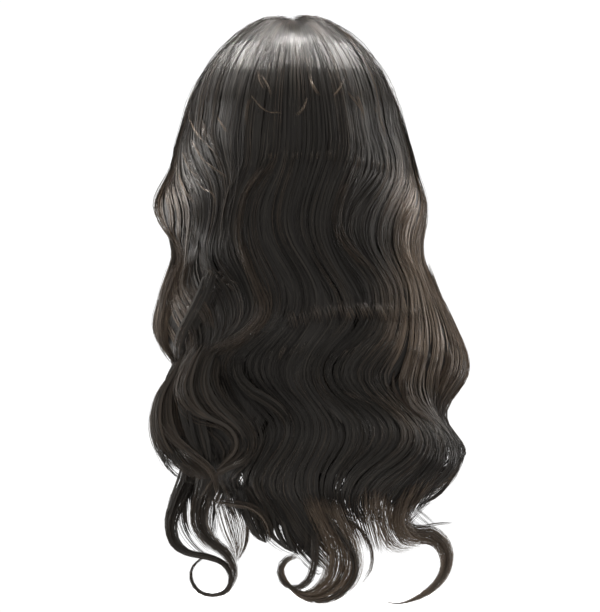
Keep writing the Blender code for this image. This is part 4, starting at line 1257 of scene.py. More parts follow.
def strokes_of(tress, node, chance, settings, surface):
    """Rows of short hairs where the waves turn, drawn light as painted highlights and arched out from the
    hair, and stray hairs, as traced on the photograph.
    """

    def lay(line, tone, arch, spread):
        length = traced(line, (0.0,))[1]
        share = np.linspace(0, 1, max(3, round(length / STROKE_STEP)) + 1)
        x, z = traced(line, share)[0].T
        out = 0.0012 + arch * np.sin(math.pi * share)
        points = np.stack((x, surface.at(x, z) - out, z), axis=1)
        size = settings.strand_radius * (0.15 + 0.75 * ends(share, 0.4, 0.5))
        facts = {"face": (0, -1, 0), "along": share * length, "share": share, "shift": chance.uniform(0, 8)}
        tress.line(points, size=size, spread=spread, girth=0.001, tone=tone, kind=STRAND, **facts)

    for name, first, last, fall, count, tone in STROKE_ROWS:
        for k in range(count if name == node else 0):
            share = (k + chance.uniform(0.1, 0.9)) / count
            x, y = (low + (high - low) * share for low, high in zip(first, last))
            y += chance.uniform(-2, 2)
            long = chance.uniform(0.7, 1.3)
            over, down = (step * long / 2 for step in fall)
            line = (x - over, y - down, x, y, x + over * 0.8, y + down)
            # The hairs' light tone is a painted highlight. Their arch lets the lamps catch them too.
            lay(line, tone * chance.uniform(0.9, 1.6), 0.0042, 0.004)
    for name, line in STRAY_HAIRS:
        if name == node:
            lay(line, 2.0, 0.0015, 0.0012)


def features_of(tress, node, chance, settings, surface):
    """The locks and fans traced on the photograph that belong to a piece."""
    features = [(*row[1:3], *row[4:9], row[3], None) for row in FEATURE_LOCKS if row[0] == node]
    features += [(*row[1:8], None, row[8]) for row in FEATURE_FANS if row[0] == node]
    for front, back, locks, lock_size, guides, tone_and_painted_light, line, widths, other in features:
        lock_stop = 0.35 if lock_size < 0.75 else 0.0
        length = traced(line, (0.0,))[1]
        for k in range(locks + guides):
            start, end = 0.10 * chance.random(), 1 - 0.16 * chance.random() ** 1.5
            if k < locks:
                end = end - lock_stop * chance.random()
            share = np.linspace(0, 1, max(5, round(length * (end - start) / FEATURE_STEP)))
            at = start + (end - start) * share
            flat = traced(line, at)[0]
            if other is None:
                way = unit(np.gradient(flat, axis=0))
                half = np.interp(at, np.linspace(0, 1, len(widths)), widths) * PIXEL
                reach = np.stack((way[:, 1], -way[:, 0]), axis=1) * half[:, None]
            else:
                second = traced(other, at)[0]
                flat, reach = (flat + second) / 2, (second - flat) / 2
                half = np.linalg.norm(reach, axis=1)
            over = 2 * ((k * GOLDEN + 0.31) % 1) - 1
            deep = 2 * ((k * SPREAD_ALONG + 0.17) % 1) - 1
            over = over + 0.10 * np.sin(at * length / 0.03 + chance.uniform(0, 6.28))
            oval = math.sqrt(max(0.05, 1 - float(over[0]) ** 2 * 0.9))
            thick = np.minimum(half, 0.001 if front is None else 0.006) * oval
            level = surface.at(*flat.T) - back if front is None else front + (back - front) * at
            points = np.insert(flat + reach * over[:, None], 1, level + deep * thick, axis=1)
            side = np.insert(reach / half[:, None], 1, 0, axis=1)
            # The tone is the row's own, with random change, and lighter towards the lock's end: painted light
            # through the thin ends, as at the tips.
            facts = {
                "face": unit(np.array((0, -1.0, 0)) + side * (over * 0.7)[:, None]),
                "along": at * length,
                "share": share,
                "shift": chance.uniform(0, 8),
                "tone": tone_and_painted_light + 0.3 * chance.random() ** 2 + 0.25 * share,
            }
            shape = ends(share, 0.15, 0.35)
            if k < locks:
                size = settings.lock_width / 2 * lock_size * chance.uniform(0.6, 1.2) * shape
                size = size * np.clip(half / 0.004, 0.35, 1.0) + LOCK_LEAST
                tress.line(points, size=size, girth=settings.lock_width * 2, kind=LOCK, **facts)
            else:
                size = settings.strand_radius * (0.2 + 0.7 * shape)
                tress.line(points, size=size, spread=half * 0.35, girth=0.001, kind=STRAND, **facts)


def painted_tip_light_of(lane, cut):
    """Painted light: how much lighter the hair is drawn towards its tip, where light comes through the thin
    ends.
    """
    return 0.6 * smooth((cut - lane.curl) / max(1, lane.last - lane.curl)) * (lane.last > lane.curl)


def painted_backlight_of(points):
    """Painted backlight: how much lighter and warmer the hair is drawn at points at the thin sides of the
    fall, where light from behind comes through it. It is strongest on the side that looks towards the camera.
    """
    x, y, z = points.T
    left = smooth((-x - 0.085) / 0.035) * smooth((z + 0.40) / 0.10)
    right = smooth((x - 0.075) / 0.045) * smooth((z + 0.44) / 0.10)
    return (1.1 * left + 1.35 * right) * smooth((-0.10 - z) / 0.09) * (0.25 + 0.75 * smooth((0.0 - y) / 0.06))


def packed_map(data):
    """Gives each lock and strand its own cell of a second map, so that no two of them share a place."""

    def read(layer, field, number_type, wide=1):
        values = np.zeros(len(layer) * wide, number_type)
        layer.foreach_get(field, values)
        return values.reshape(-1, wide) if wide > 1 else values

    vertex = read(data.loops, "vertex_index", np.int32)
    kind = read(data.attributes["kind"].data, "value", np.int32)[vertex]
    number = read(data.attributes["number"].data, "value", np.int32)[vertex]
    strip = read(data.attributes["strip"].data, "vector", np.float32, 2)
    pattern = read(data.uv_layers[HAIR_MAP].data, "uv", np.float32, 2)
    kinds, cell = np.unique(kind * (number.max() + 1) + number, return_inverse=True)
    columns = max(1, math.ceil(math.sqrt(len(kinds) * 4)))
    rows = math.ceil(len(kinds) / columns)
    x, y = cell % columns + 0.1 + 0.8 * strip[:, 0], cell // columns + 0.05 + 0.9 * strip[:, 1]
    place = np.stack((x, y), axis=1) / (columns, rows)
    place[:, 0] = BACKING_MAP_SHARE + (1 - BACKING_MAP_SHARE) * place[:, 0]
    backing = pattern[kind == BACKING]
    place[kind == BACKING] = backing / backing.max(axis=0) * (BACKING_MAP_SHARE * 0.98, 0.98) + 0.005
    layer = data.uv_layers.new(name="OFBake")
    layer.data.foreach_set("uv", place.astype(np.float32).ravel())
    data.uv_layers[HAIR_MAP].active_render = True
    data.uv_layers.active = data.uv_layers[HAIR_MAP]
    for name in (*POINT_FACTS, "strip", "number", "column"):
        if name in data.attributes and name not in ("along", "tone"):
            data.attributes.remove(data.attributes[name])


def new_material(name):
    """A material and its tree, with nothing in it yet."""
    material = bpy.data.materials.new(name)
    material.use_nodes = True
    material.node_tree.nodes.clear()
    return material, material.node_tree


def hair_material(settings):
    """Human hair, steamed into waves: near-black brown with a satin gloss along each strand.

    The gloss is stretched across the strands, because each one is a thin cylinder. A real hair is
    0.07 mm thick, and the pattern draws hairs some fifteen times as coarse, so that they show.
    """
    material, tree = new_material("human hair")
    uv = add(tree, "ShaderNodeUVMap", uv_map=HAIR_MAP)
    streaks = []
    for across_size, along_size in ((settings.hair_pitch, 0.060), (settings.hair_pitch * 2.5, 0.110)):
        inputs = {"Vector": uv, "Scale": (1 / across_size, 1 / along_size, 1)}
        vector = add(tree, "ShaderNodeMapping", inputs)
        inputs = {"Vector": vector, "Scale": 1.0, "Detail": 2.0, "Roughness": 0.6}
        streaks.append(add(tree, NOISE, inputs, noise_dimensions="2D"))
    fine, broad = streaks
    shade = add(tree, "ShaderNodeAttribute", (), "Fac", attribute_name="tone")
    for streak, weight in ((broad, 0.7), (fine, 1.5)):
        change = add(tree, MATHS, (streak, 0.5), operation="SUBTRACT")
        change = add(tree, MATHS, (change, weight), operation="MULTIPLY")
        shade = add(tree, MATHS, (shade, change), operation="ADD")
    # The dark and middle stops are the hair's own colours. The warm and tips stops are lighter: painted light
    # coming through thin hair and painted highlights, which lighter strands of random tone also reach.
    colour = add(tree, "ShaderNodeValToRGB", (add(tree, MATHS, (shade, 0.5), operation="MULTIPLY"),))
    stops = colour.node.color_ramp.elements
    stops[0].color, stops[1].color = (*settings.dark, 1), (*settings.tips, 1)
    for place, tone in ((0.22, settings.middle), (0.50, settings.warm)):
        stops.new(place).color = (*tone, 1)
    rough = add(tree, MATHS, (fine, 0.12), operation="MULTIPLY")
    height = add(tree, MATHS, (broad, 1.1), operation="MULTIPLY")
    height = add(tree, MATHS, (fine, height), operation="ADD")
    relief = {"Height": height, "Distance": settings.hair_pitch * 0.5, "Strength": 0.7}
    inputs = {
        "Base Color": colour,
        "Roughness": add(tree, MATHS, (settings.roughness - 0.06, rough), operation="ADD"),
        "Normal": add(tree, "ShaderNodeBump", relief),
        "Tangent": add(tree, "ShaderNodeTangent", direction_type="UV_MAP", uv_map=HAIR_MAP),
        "IOR": 1.55,
        "Anisotropic": 1.0,
        "Sheen Weight": settings.sheen,
        "Sheen Roughness": 0.35,
        "Sheen Tint": (*settings.sheen_tint, 1),
        "Specular Tint": (1.0, 0.94, 0.89, 1),
    }
    add(tree, "ShaderNodeOutputMaterial", (add(tree, "ShaderNodeBsdfPrincipled", inputs),))
    return material


def measure(name, description, default, **kind):
    """A property that holds one number. Its kind is a unit, a subtype or a limit."""
    return FloatProperty(name=name, description=description, default=default, **kind)


def tint(name, description, code):
    """A property that holds a colour, from its sRGB hex code."""
    return FloatVectorProperty(name=name, description=description, default=linear(code), subtype="COLOR")


class WigHair(bpy.types.PropertyGroup):
    """Sizes and colours of the hair."""

    lock_width: measure("Lock Width", "Width of a lock", 0.0030, min=0.001, unit="LENGTH")
    strand_radius: measure("Strand Radius", "Radius of a fine strand", 0.00021, unit="LENGTH")
    strand_spread: measure("Strand Spread", "How far copies stand from a strand", 0.0065, unit="LENGTH")
    strand_copies: IntProperty(name="Strand Copies", description="Strands for each guide", default=5, min=1)
    hair_pitch: measure("Hair Pitch", "Width of a hair in the pattern", 0.0010, unit="LENGTH")
    roughness: measure("Roughness", "Roughness of the hair", 0.32, subtype="FACTOR")
    sheen: measure("Sheen", "Light in the fuzz of loose hairs", 0.06, subtype="FACTOR")
    sheen_tint: tint("Sheen Tint", "Colour of the fuzz", "#c8b8ac")
    dark: tint("Dark", "Colour of the darkest hair", "#171412")
    middle: tint("Middle", "Colour of most of the hair", "#34312c")
    # The warm and tips colours are mostly painted light: hair drawn lighter where light comes through it and
    # where highlights fall.
    warm: tint("Warm", "Colour of thinner hair", "#54493f")
    tips: tint("Tips", "Colour of the thinnest hair and tips", "#83715f")


class WIG_OT_hair(bpy.types.Operator):
    """Dress the eight pieces of hair"""

    bl_idname = "wig.hair"
    bl_label = "Dress Hair"

    def execute(self, context):
        settings = context.scene.wig_hair
        tree, material = hair_tree(), hair_material(settings)
        lanes = [section_lane(*row[1:5]) for row in SECTIONS]
        surface = Surface(lanes)
        for number, (lane, row) in enumerate(zip(lanes, SECTIONS)):
            dress(row[0], lane, *row[5:], number, settings, tree, material, surface)
        dress("nape_hair", under_lane(), 180, 22, len(SECTIONS), settings, tree, material, surface)
        return {"FINISHED"}


def dress(node, lane, locks, strands, number, settings, tree, material, surface):
    """Makes the dressed hair that stands for a CAD node."""
    chance = np.random.default_rng(100 + number)
    tress = Tress()
    backing_of(tress, lane, chance)
    # The under layer is seen from inside the wig, and the sections from outside.
    outer_share = 0.2 if node == "nape_hair" else 0.76
    locks_of(tress, lane, locks, outer_share, chance, settings, OPEN_SIDES.get(node))
    strands_of(tress, lane, strands, outer_share, chance, settings, OPEN_SIDES.get(node))
    features_of(tress, node, chance, settings, surface)
    strokes_of(tress, node, chance, settings, surface)
    values = {"Strand Copies": settings.strand_copies, "Seed": number * 10, "Hair": material}
    piece = grown("dressed_" + node, tress.mesh(node), tree, values)
    packed_map(piece.data)
    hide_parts(node)
    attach(piece, "root")


def edge_drop(angle):
    """How far the cap's edge lies below the top of the head."""
    drops = [EAR_DROP + (other - EAR_DROP) * share for _, other, share in EDGE_ROWS]
    return eased(column(EDGE_ROWS, 0), drops, abs(angle))


def crown(_angle):
    return 0.0


def band_top(angle):
    return edge_drop(angle) - BAND_HEIGHT


def net_edge(angle):
    """The net ends above the nape band, and beside it at the cap's edge."""
    return band_top(angle) - SEAM_GAP if abs(angle) <= BAND_ANGLE else edge_drop(angle)


def lace_edge(angle):
    return edge_drop(180 - abs(180 - angle))


def tab_head(angle):
    return edge_drop(angle) + SEAM_GAP


def tab_foot(angle):
    """An ear tab hangs below the lace's edge, with a rounded foot."""
    middle, half = sum(TAB_ANGLES) / 2, (TAB_ANGLES[1] - TAB_ANGLES[0]) / 2
    over = (abs(angle) - middle) / half
    return tab_head(angle) + TAB_HEIGHT * math.sqrt(1 + (TAB_CORNER_SHARE - 1) * over**2)


def cap_cloth(tress, angles, upper, lower, wall, rows, shift=0.0):
    """Adds a closed sheet of the cap between two drops of the angle, from the head outwards to its wall.

    Its map is in metres: from the top of the head where it starts there, and along its edge elsewhere.
    It carries how far each place is from the lower edge.
    """
    drops = np.zeros((rows + 1, len(angles)))
    for k, angle in enumerate(angles):
        top, low = upper(angle), lower(angle)
        shares = np.arange(rows + 1) / rows
        shares = 1 - np.cos(shares * math.pi / 2) if top == 0 else shares
        drops[:, k] = top + (low - top) * shares
    faces = []
    for offset in (wall, 0.0):
        grid = [[head_point(angle, drop, offset) for angle, drop in zip(angles, row)] for row in drops]
        faces.append(np.array(grid) + (0, shift, 0))
    down = np.linalg.norm(np.diff(faces[0], axis=0), axis=2)
    down = np.concatenate((np.zeros((1, len(angles))), np.cumsum(down, axis=0)))
    if upper is crown:
        turns = np.radians(angles)
        spots = np.stack((down * np.sin(turns), -down * np.cos(turns)), axis=-1)
    else:
        over = np.linalg.norm(np.diff(faces[0][-1], axis=0), axis=1)
        over = np.concatenate(((0.0,), np.cumsum(over)))
        spots = np.stack((np.broadcast_to(over, down.shape), down), axis=-1)
    numbers = []
    for face in faces:
        first = 1 if upper is crown else 0
        start = tress.add(face[first:].reshape(-1, 3), kind=CLOTH, share=(down[-1] - down[first:]).ravel())
        grid = start + np.arange((rows + 1 - first) * len(angles)).reshape(-1, len(angles))
        if first:
            top = tress.add(face[0, :1], kind=CLOTH, share=down[-1].max())
            grid = np.concatenate((np.full((1, len(angles)), top), grid))
        numbers.append(grid)
    outer, inner = numbers

    def panel(corners):
        ids = [grid[spot] for grid, spot in corners]
        kept = [k for k in range(4) if ids[k] != ids[k - 1]]
        tress.faces.append(tuple(int(ids[k]) for k in kept))
        tress.corners += [tuple(spots[corners[k][1]]) for k in kept]

    last = len(angles) - 1
    for r in range(rows):
        for k in range(last):
            square = ((r, k), (r + 1, k), (r + 1, k + 1), (r, k + 1))
            panel([(outer, spot) for spot in square])
            panel([(inner, spot) for spot in square[::-1]])
        panel([(outer, (r, 0)), (inner, (r, 0)), (inner, (r + 1, 0)), (outer, (r + 1, 0))])
        panel([(inner, (r, last)), (outer, (r, last)), (outer, (r + 1, last)), (inner, (r + 1, last))])
    for k in range(last):
        panel([(inner, (rows, k)), (inner, (rows, k + 1)), (outer, (rows, k + 1)), (outer, (rows, k))])
        if upper is not crown:
            panel([(outer, (0, k)), (outer, (0, k + 1)), (inner, (0, k + 1)), (inner, (0, k))])


def cap_row(tress, places, offset, kind, size=0.0, shift=0.0, inwards=False):
    """Adds a row over the cap through places, each an angle and a drop: a band or a line of stitches."""
    points = np.array([head_point(*place, offset) for place in places])
    above = np.array([head_point(*place, offset + 0.001) for place in places])
    along = np.concatenate(((0.0,), np.cumsum(np.linalg.norm(np.diff(points, axis=0), axis=1))))
    faces = unit(above - points) * (-1 if inwards else 1)
    share = along / along[-1]
    facts = {"face": faces, "size": size, "along": along, "share": share, "girth": size * 4}
    tress.line(points + (0, shift, 0), kind=kind, **facts)


def sewing_tree():
    """The tree that finishes a piece of the cap: its cloth, the bands on it and the stitches through it."""
    inputs = (
        ("Band Flatness", "Float", 0.25),
        ("Stitch Pitch", "Float", 0.004),
        ("Stitch Length", "Float", 0.0028),
        ("Stitch Slant", "Float", 0.0),
        ("Thread Radius", "Float", 0.00025),
        ("Cloth", "Material", None),
        ("Band", "Material", None),
        ("Thread", "Material", None),
    )
    tree, given = new_tree("Wig Sewing", inputs)
    cloth, lines = parted(tree, given["Geometry"], CLOTH, "POINT")
    bands, seams = parted(tree, add(tree, "GeometryNodeMeshToCurve", (lines,)), BAND, "CURVE")
    bands = tubes(tree, bands, 4, given["Band Flatness"], False)
    # A stitch is a short arc of thread. It comes up through the cloth and goes down again.
    radius = given["Thread Radius"]
    half = add(tree, MATHS, (given["Stitch Length"], 0.5), operation="MULTIPLY")
    back = add(tree, MATHS, (half, -1.0), operation="MULTIPLY")
    deep = add(tree, MATHS, (radius, -1.0), operation="MULTIPLY")
    high = add(tree, MATHS, (radius, 2.6), operation="MULTIPLY")
    inputs = {"Resolution": 3}
    for spot, over, up in (("Start", back, deep), ("Middle", 0.0, high), ("End", half, deep)):
        inputs[spot] = add(tree, PARTS, {0: over, 2: up})
    arc = add(tree, "GeometryNodeCurveQuadraticBezier", inputs)
    ring = add(tree, "GeometryNodeCurvePrimitiveCircle", {"Resolution": 4, "Radius": radius})
    stitch = add(tree, "GeometryNodeCurveToMesh", {"Curve": arc, "Profile Curve": ring, "Fill Caps": True})
    inputs = {"Curve": seams, "Length": given["Stitch Pitch"]}
    spaced = add(tree, "GeometryNodeCurveToPoints", inputs, mode="LENGTH").node.outputs
    face = add(tree, FACT, ("face",), data_type="FLOAT_VECTOR")
    # Every other stitch slants to the other side, as a zigzag machine sews it.
    parity = add(tree, MATHS, (add(tree, INDEX), 2.0), operation="MODULO")
    swing = add(tree, MATHS, (parity, 2.0), operation="MULTIPLY")
    swing = add(tree, MATHS, (swing, 1.0), operation="SUBTRACT")
    slant = add(tree, MATHS, (swing, given["Stitch Slant"]), operation="MULTIPLY")
    sideways = add(tree, VECTORS, (spaced["Tangent"], face), operation="CROSS_PRODUCT")
    sideways = add(tree, VECTORS, {0: sideways, "Scale": slant}, operation="SCALE")
    heading = add(tree, VECTORS, (spaced["Tangent"], sideways), operation="ADD")
    turned = add(tree, "FunctionNodeAlignRotationToVector", {"Vector": face}, axis="Z")
    inputs = {"Rotation": turned, "Vector": heading}
    turned = add(tree, "FunctionNodeAlignRotationToVector", inputs, axis="X", pivot_axis="Z")
    inputs = {"Points": spaced["Points"], "Instance": stitch, "Rotation": turned}
    stitches = add(tree, "GeometryNodeInstanceOnPoints", inputs)
    stitches = add(tree, "GeometryNodeRealizeInstances", (stitches,))
    worn = []
    for part, label in ((cloth, "Cloth"), (bands, "Band"), (stitches, "Thread")):
        inputs = {"Geometry": part, "Material": given[label]}
        worn.append(add(tree, "GeometryNodeSetMaterial", inputs))
    joined = add(tree, "GeometryNodeJoinGeometry", (worn,))
    soft = add(tree, "GeometryNodeSetShadeSmooth", {"Geometry": joined, "Shade Smooth": True})
    add(tree, "NodeGroupOutput", (add(tree, "GeometryNodeRealizeInstances", (soft,)),))
    return tree


def sew(node, tress, tree, settings, worn, others):
    """Makes the sewn piece of the cap that stands for a CAD node. It wears a cloth, a band and a thread."""
    values = {
        "Stitch Pitch": settings.stitch_pitch,
        "Stitch Length": settings.stitch_pitch * 0.66,
        "Thread Radius": settings.thread_radius,
        **dict(zip(("Cloth", "Band", "Thread"), worn)),
        **others,
    }
    piece = grown("dressed_" + node, tress.mesh(node), tree, values)
    piece.data.set_sharp_from_angle(angle=math.radians(40))
    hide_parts(node)
    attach(piece, "root")
    return piece


def shaded(tree, inputs, height, depth):
    """Adds a cloth's shader with these inputs, and with relief from a height in shares of a depth."""
    relief = {"Height": height, "Distance": depth, "Strength": 0.8}
    inputs = {**inputs, "Normal": add(tree, "ShaderNodeBump", relief)}
    add(tree, "ShaderNodeOutputMaterial", (add(tree, "ShaderNodeBsdfPrincipled", inputs),))


def mottled(tree, size):
    """Slow changes over the cloth, from 0 to 1."""
    place = add(tree, "ShaderNodeTexCoord", (), "Object")
    return add(tree, NOISE, {"Vector": place, "Scale": 1 / size, "Detail": 2.0})


def netting(tree, pitch, mottle, shade, colour, least, cover):
    """A hexagonal net with holes of a pitch: its thread, its knots, its colour and how much it covers."""
    uv = add(tree, "ShaderNodeUVMap", uv_map=HAIR_MAP)
    steepness = 4 * math.pi / (math.sqrt(3) * pitch)
    total = 0.0
    for angle in (0, 60, 120):
        turn = math.radians(angle)
        way = (math.cos(turn) * steepness, math.sin(turn) * steepness, 0)
        along = add(tree, VECTORS, (uv, way), "Value", operation="DOT_PRODUCT")
        total = add(tree, MATHS, (total, add(tree, MATHS, (along,), operation="COSINE")), operation="ADD")
    thread, knot = (
        add(tree, RANGE, (total, low, high, 0.0, 1.0), interpolation_type="SMOOTHSTEP")
        for low, high in ((0.5, -0.5), (-1.2, -1.42))
    )
    mixed = (*colour, 1)
    for share in (mottled(tree, mottle), thread):
        mixed = add(tree, MIX, {0: share, 6: (*shade, 1), 7: mixed}, 2, data_type="RGBA")
    covered = add(tree, MATHS, (thread, cover), operation="MULTIPLY")
    return thread, knot, mixed, add(tree, MATHS, (least, covered), operation="ADD")


def lace_material(settings):
    """Swiss lace, a sheer brown net that shows the hair behind it, with a dark knot where a hair is tied in.

    Real lace has holes of 0.8 mm. They are drawn at twice that, so that they show.
    """
    material, tree = new_material("swiss lace")
    cloth = (settings.lace_pitch, 0.02, settings.lace_shade, settings.lace, 0.42, 0.55)
    thread, knot, net, cover = netting(tree, *cloth)
    edge = add(tree, "ShaderNodeAttribute", (), "Fac", attribute_name="share")
    inside = add(tree, RANGE, (edge, 0.004, 0.016, 0.0, 1.0), interpolation_type="SMOOTHSTEP")
    rare = add(tree, MATHS, (0.62, inside), operation="SUBTRACT")
    tied = add(tree, MATHS, (mottled(tree, 0.003), rare), operation="GREATER_THAN")
    tied = add(tree, MATHS, (knot, tied), operation="MULTIPLY")
    inputs = {
        "Base Color": add(tree, MIX, {0: tied, 6: net, 7: (*settings.knot, 1)}, 2, data_type="RGBA"),
        "Alpha": cover,
        "Roughness": 0.78,
        "IOR": 1.5,
        "Sheen Weight": 0.25,
        "Sheen Roughness": 0.5,
    }
    shaded(tree, inputs, thread, 0.0004)
    return material


def net_material(settings):
    """Stretch net, a dark nylon mesh of hexagons that pulls longer towards the ears.

    Real net has holes of 1 mm. They are drawn somewhat coarser, so that they show.
    """
    material, tree = new_material("stretch net")
    cloth = (settings.net_pitch, 0.03, settings.net_shade, settings.net, 0.35, 0.65)
    thread, _, colour, cover = netting(tree, *cloth)
    inputs = {"Base Color": colour, "Alpha": cover, "Roughness": 0.6, "Sheen Weight": 0.2}
    shaded(tree, inputs, thread, 0.0005)
    return material


def elastic_material(name, settings):
    """Woven elastic, black, with ribs along it where the rubber cords lie and thread wound round them."""
    material, tree = new_material(name)
    parts = add(tree, "ShaderNodeSeparateXYZ", (add(tree, "ShaderNodeUVMap", uv_map=HAIR_MAP),)).node.outputs
    woven = 0.5
    for axis, pitch, depth in ((1, settings.rib_pitch, 0.32), (0, settings.rib_pitch * 0.55, 0.12)):
        rib = add(tree, MATHS, (parts[axis], 2 * math.pi / pitch), operation="MULTIPLY")
        rib = add(tree, MATHS, (rib,), operation="COSINE")
        rib = add(tree, MATHS, (rib, depth), operation="MULTIPLY")
        woven = add(tree, MATHS, (woven, rib), operation="ADD")
    shade = (*settings.elastic_shade, 1)
    cloth = add(tree, MIX, {0: woven, 6: shade, 7: (*settings.elastic, 1)}, 2, data_type="RGBA")
    worn = add(tree, MATHS, (mottled(tree, 0.012), 0.5), operation="MULTIPLY")
    cloth = add(tree, MIX, {0: worn, 6: cloth, 7: shade}, 2, data_type="RGBA")
    inputs = {"Base Color": cloth, "Roughness": 0.66, "Sheen Weight": 0.3, "Sheen Roughness": 0.4}
    shaded(tree, inputs, woven, 0.0005)
    return material


def thread_material(name, colour):
    """Polyester thread, with a low gloss and the twist of its plies across it."""
    material, tree = new_material(name)
    place = add(tree, "ShaderNodeTexCoord", (), "Object")
    wound = {"Vector": place, "Scale": 900.0, "Distortion": 1.5}
    twist = add(tree, "ShaderNodeTexWave", wound, "Fac", bands_direction="DIAGONAL")
    dark = (*(value * 0.55 for value in colour), 1)
    shade = add(tree, MIX, {0: twist, 6: dark, 7: (*colour, 1)}, 2, data_type="RGBA")
    shaded(tree, {"Base Color": shade, "Roughness": 0.45}, twist, 0.0001)
    return material


class WigCap(bpy.types.PropertyGroup):
    """Sizes and colours of the cap."""

    lace_pitch: measure("Lace Pitch", "Width of a hole in the lace", 0.0016, unit="LENGTH")
    net_pitch: measure("Net Pitch", "Width of a hole in the net", 0.0018, unit="LENGTH")
    rib_pitch: measure("Rib Pitch", "Between the ribs of the elastic", 0.0018, unit="LENGTH")
    weft_pitch: measure("Weft Pitch", "Between the rows of sewn hair", 0.011, unit="LENGTH")
    stitch_pitch: measure("Stitch Pitch", "Between the stitches of a seam", 0.0042, unit="LENGTH")
    thread_radius: measure("Thread Radius", "Radius of the sewing thread", 0.00028, unit="LENGTH")
    lace: tint("Lace", "Colour of the lace's threads", "#8f7461")
    lace_shade: tint("Lace Shade", "Colour between the lace's threads", "#664f3f")
    knot: tint("Knot", "Colour of the tied hairs' knots", "#1d1410")
    net: tint("Net", "Colour of the net's threads", "#3a302b")
    net_shade: tint("Net Shade", "Colour between the net's threads", "#17120f")
    elastic: tint("Elastic", "Colour of the elastic's ribs", "#35302e")
    elastic_shade: tint("Elastic Shade", "Colour between the ribs", "#151312")
    thread: tint("Thread", "Colour of the dark thread", "#4a3d36")
    lace_thread: tint("Lace Thread", "Colour of the thread in the lace", "#a58c78")


class WIG_OT_cap_net(bpy.types.Operator):
    """Sew the stretch net with its rows of hair"""

    bl_idname = "wig.cap_net"
    bl_label = "Sew Cap Net"

    def execute(self, context):
        settings = context.scene.wig_cap
        tress = Tress()
        cap_cloth(tress, np.linspace(-SEAM_ANGLE, SEAM_ANGLE, 61), crown, net_edge, NET_WALL, CLOTH_ROWS)
        middle = np.linspace(-SEAM_ANGLE + 4, SEAM_ANGLE - 4, 44)
        drop = FIRST_WEFT_DROP
        # The rows of sewn hair lie on the outside of the net, and their stitches show on the inside.
        while drop < NAPE_DROP - BAND_HEIGHT - 0.006:
            places = [(angle, drop) for angle in middle if drop < net_edge(angle) - 0.005]
            cap_row(tress, places, NET_WALL + 0.0003, BAND, size=0.0016)
            cap_row(tress, places, -STITCH_SKIN, SEAM, inwards=True)
            drop += settings.weft_pitch
        for angle in (-SEAM_ANGLE + 1.5, SEAM_ANGLE - 1.5):
            places = [(angle, drop) for drop in np.linspace(0.004, edge_drop(angle) - 0.003, 40)]
            cap_row(tress, places, -STITCH_SKIN, SEAM, inwards=True)
            cap_row(tress, places, NET_WALL + STITCH_SKIN, SEAM)
        band = elastic_material("sewn hair binding", settings)
        worn = (net_material(settings), band, thread_material("dark sewing thread", settings.thread))
        piece = sew("cap_net", tress, sewing_tree(), settings, worn, {"Stitch Slant": 0.7})
        return {"FINISHED"}


class WIG_OT_lace_front(bpy.types.Operator):
    """Sew the lace front with its hairline"""

    bl_idname = "wig.lace_front"
    bl_label = "Sew Lace Front"

    def execute(self, context):
        settings = context.scene.wig_cap
        tress = Tress()
        angles = np.linspace(SEAM_ANGLE, 360 - SEAM_ANGLE, 61)
        cap_cloth(tress, angles, crown, lace_edge, LACE_WALL, CLOTH_ROWS, SEAM_GAP)
        middle = np.linspace(SEAM_ANGLE + 2, 358 - SEAM_ANGLE, 80)
        hem = [(angle, lace_edge(angle) - 0.0004) for angle in middle]
        cap_row(tress, hem, LACE_WALL / 2, BAND, size=0.0007, shift=SEAM_GAP)
        hem = [(angle, lace_edge(angle) - 0.0026) for angle in middle]
        cap_row(tress, hem, LACE_WALL, SEAM, shift=SEAM_GAP)
        cap_row(tress, hem, 0.0, SEAM, shift=SEAM_GAP, inwards=True)
        thread = thread_material("lace thread", settings.lace_thread)
        others = {"Band Flatness": 1.0, "Thread Radius": settings.thread_radius * 0.7}
        worn = (lace_material(settings), thread, thread)
        piece = sew("lace_front", tress, sewing_tree(), settings, worn, others)
        return {"FINISHED"}


class WIG_OT_nape_band(bpy.types.Operator):
    """Sew the elastic nape band"""

    bl_idname = "wig.nape_band"
    bl_label = "Sew Nape Band"

    def execute(self, context):
        settings = context.scene.wig_cap
        tress = Tress()
        cap_cloth(tress, np.linspace(-BAND_ANGLE, BAND_ANGLE, 81), band_top, edge_drop, BAND_WALL, 6)
        inner = np.linspace(-BAND_ANGLE + 1, BAND_ANGLE - 1, 60)
        for inset in (BAND_SEAM_INSET, BAND_HEIGHT - BAND_SEAM_INSET):
            places = [(angle, band_top(angle) + inset) for angle in inner]
            cap_row(tress, places, 0.0, SEAM, inwards=True)
            cap_row(tress, places, BAND_WALL, SEAM)
        elastic = elastic_material("woven elastic", settings)
        worn = (elastic, elastic, thread_material("elastic thread", settings.thread))
        piece = sew("nape_band", tress, sewing_tree(), settings, worn, {"Stitch Slant": 0.9})
        return {"FINISHED"}


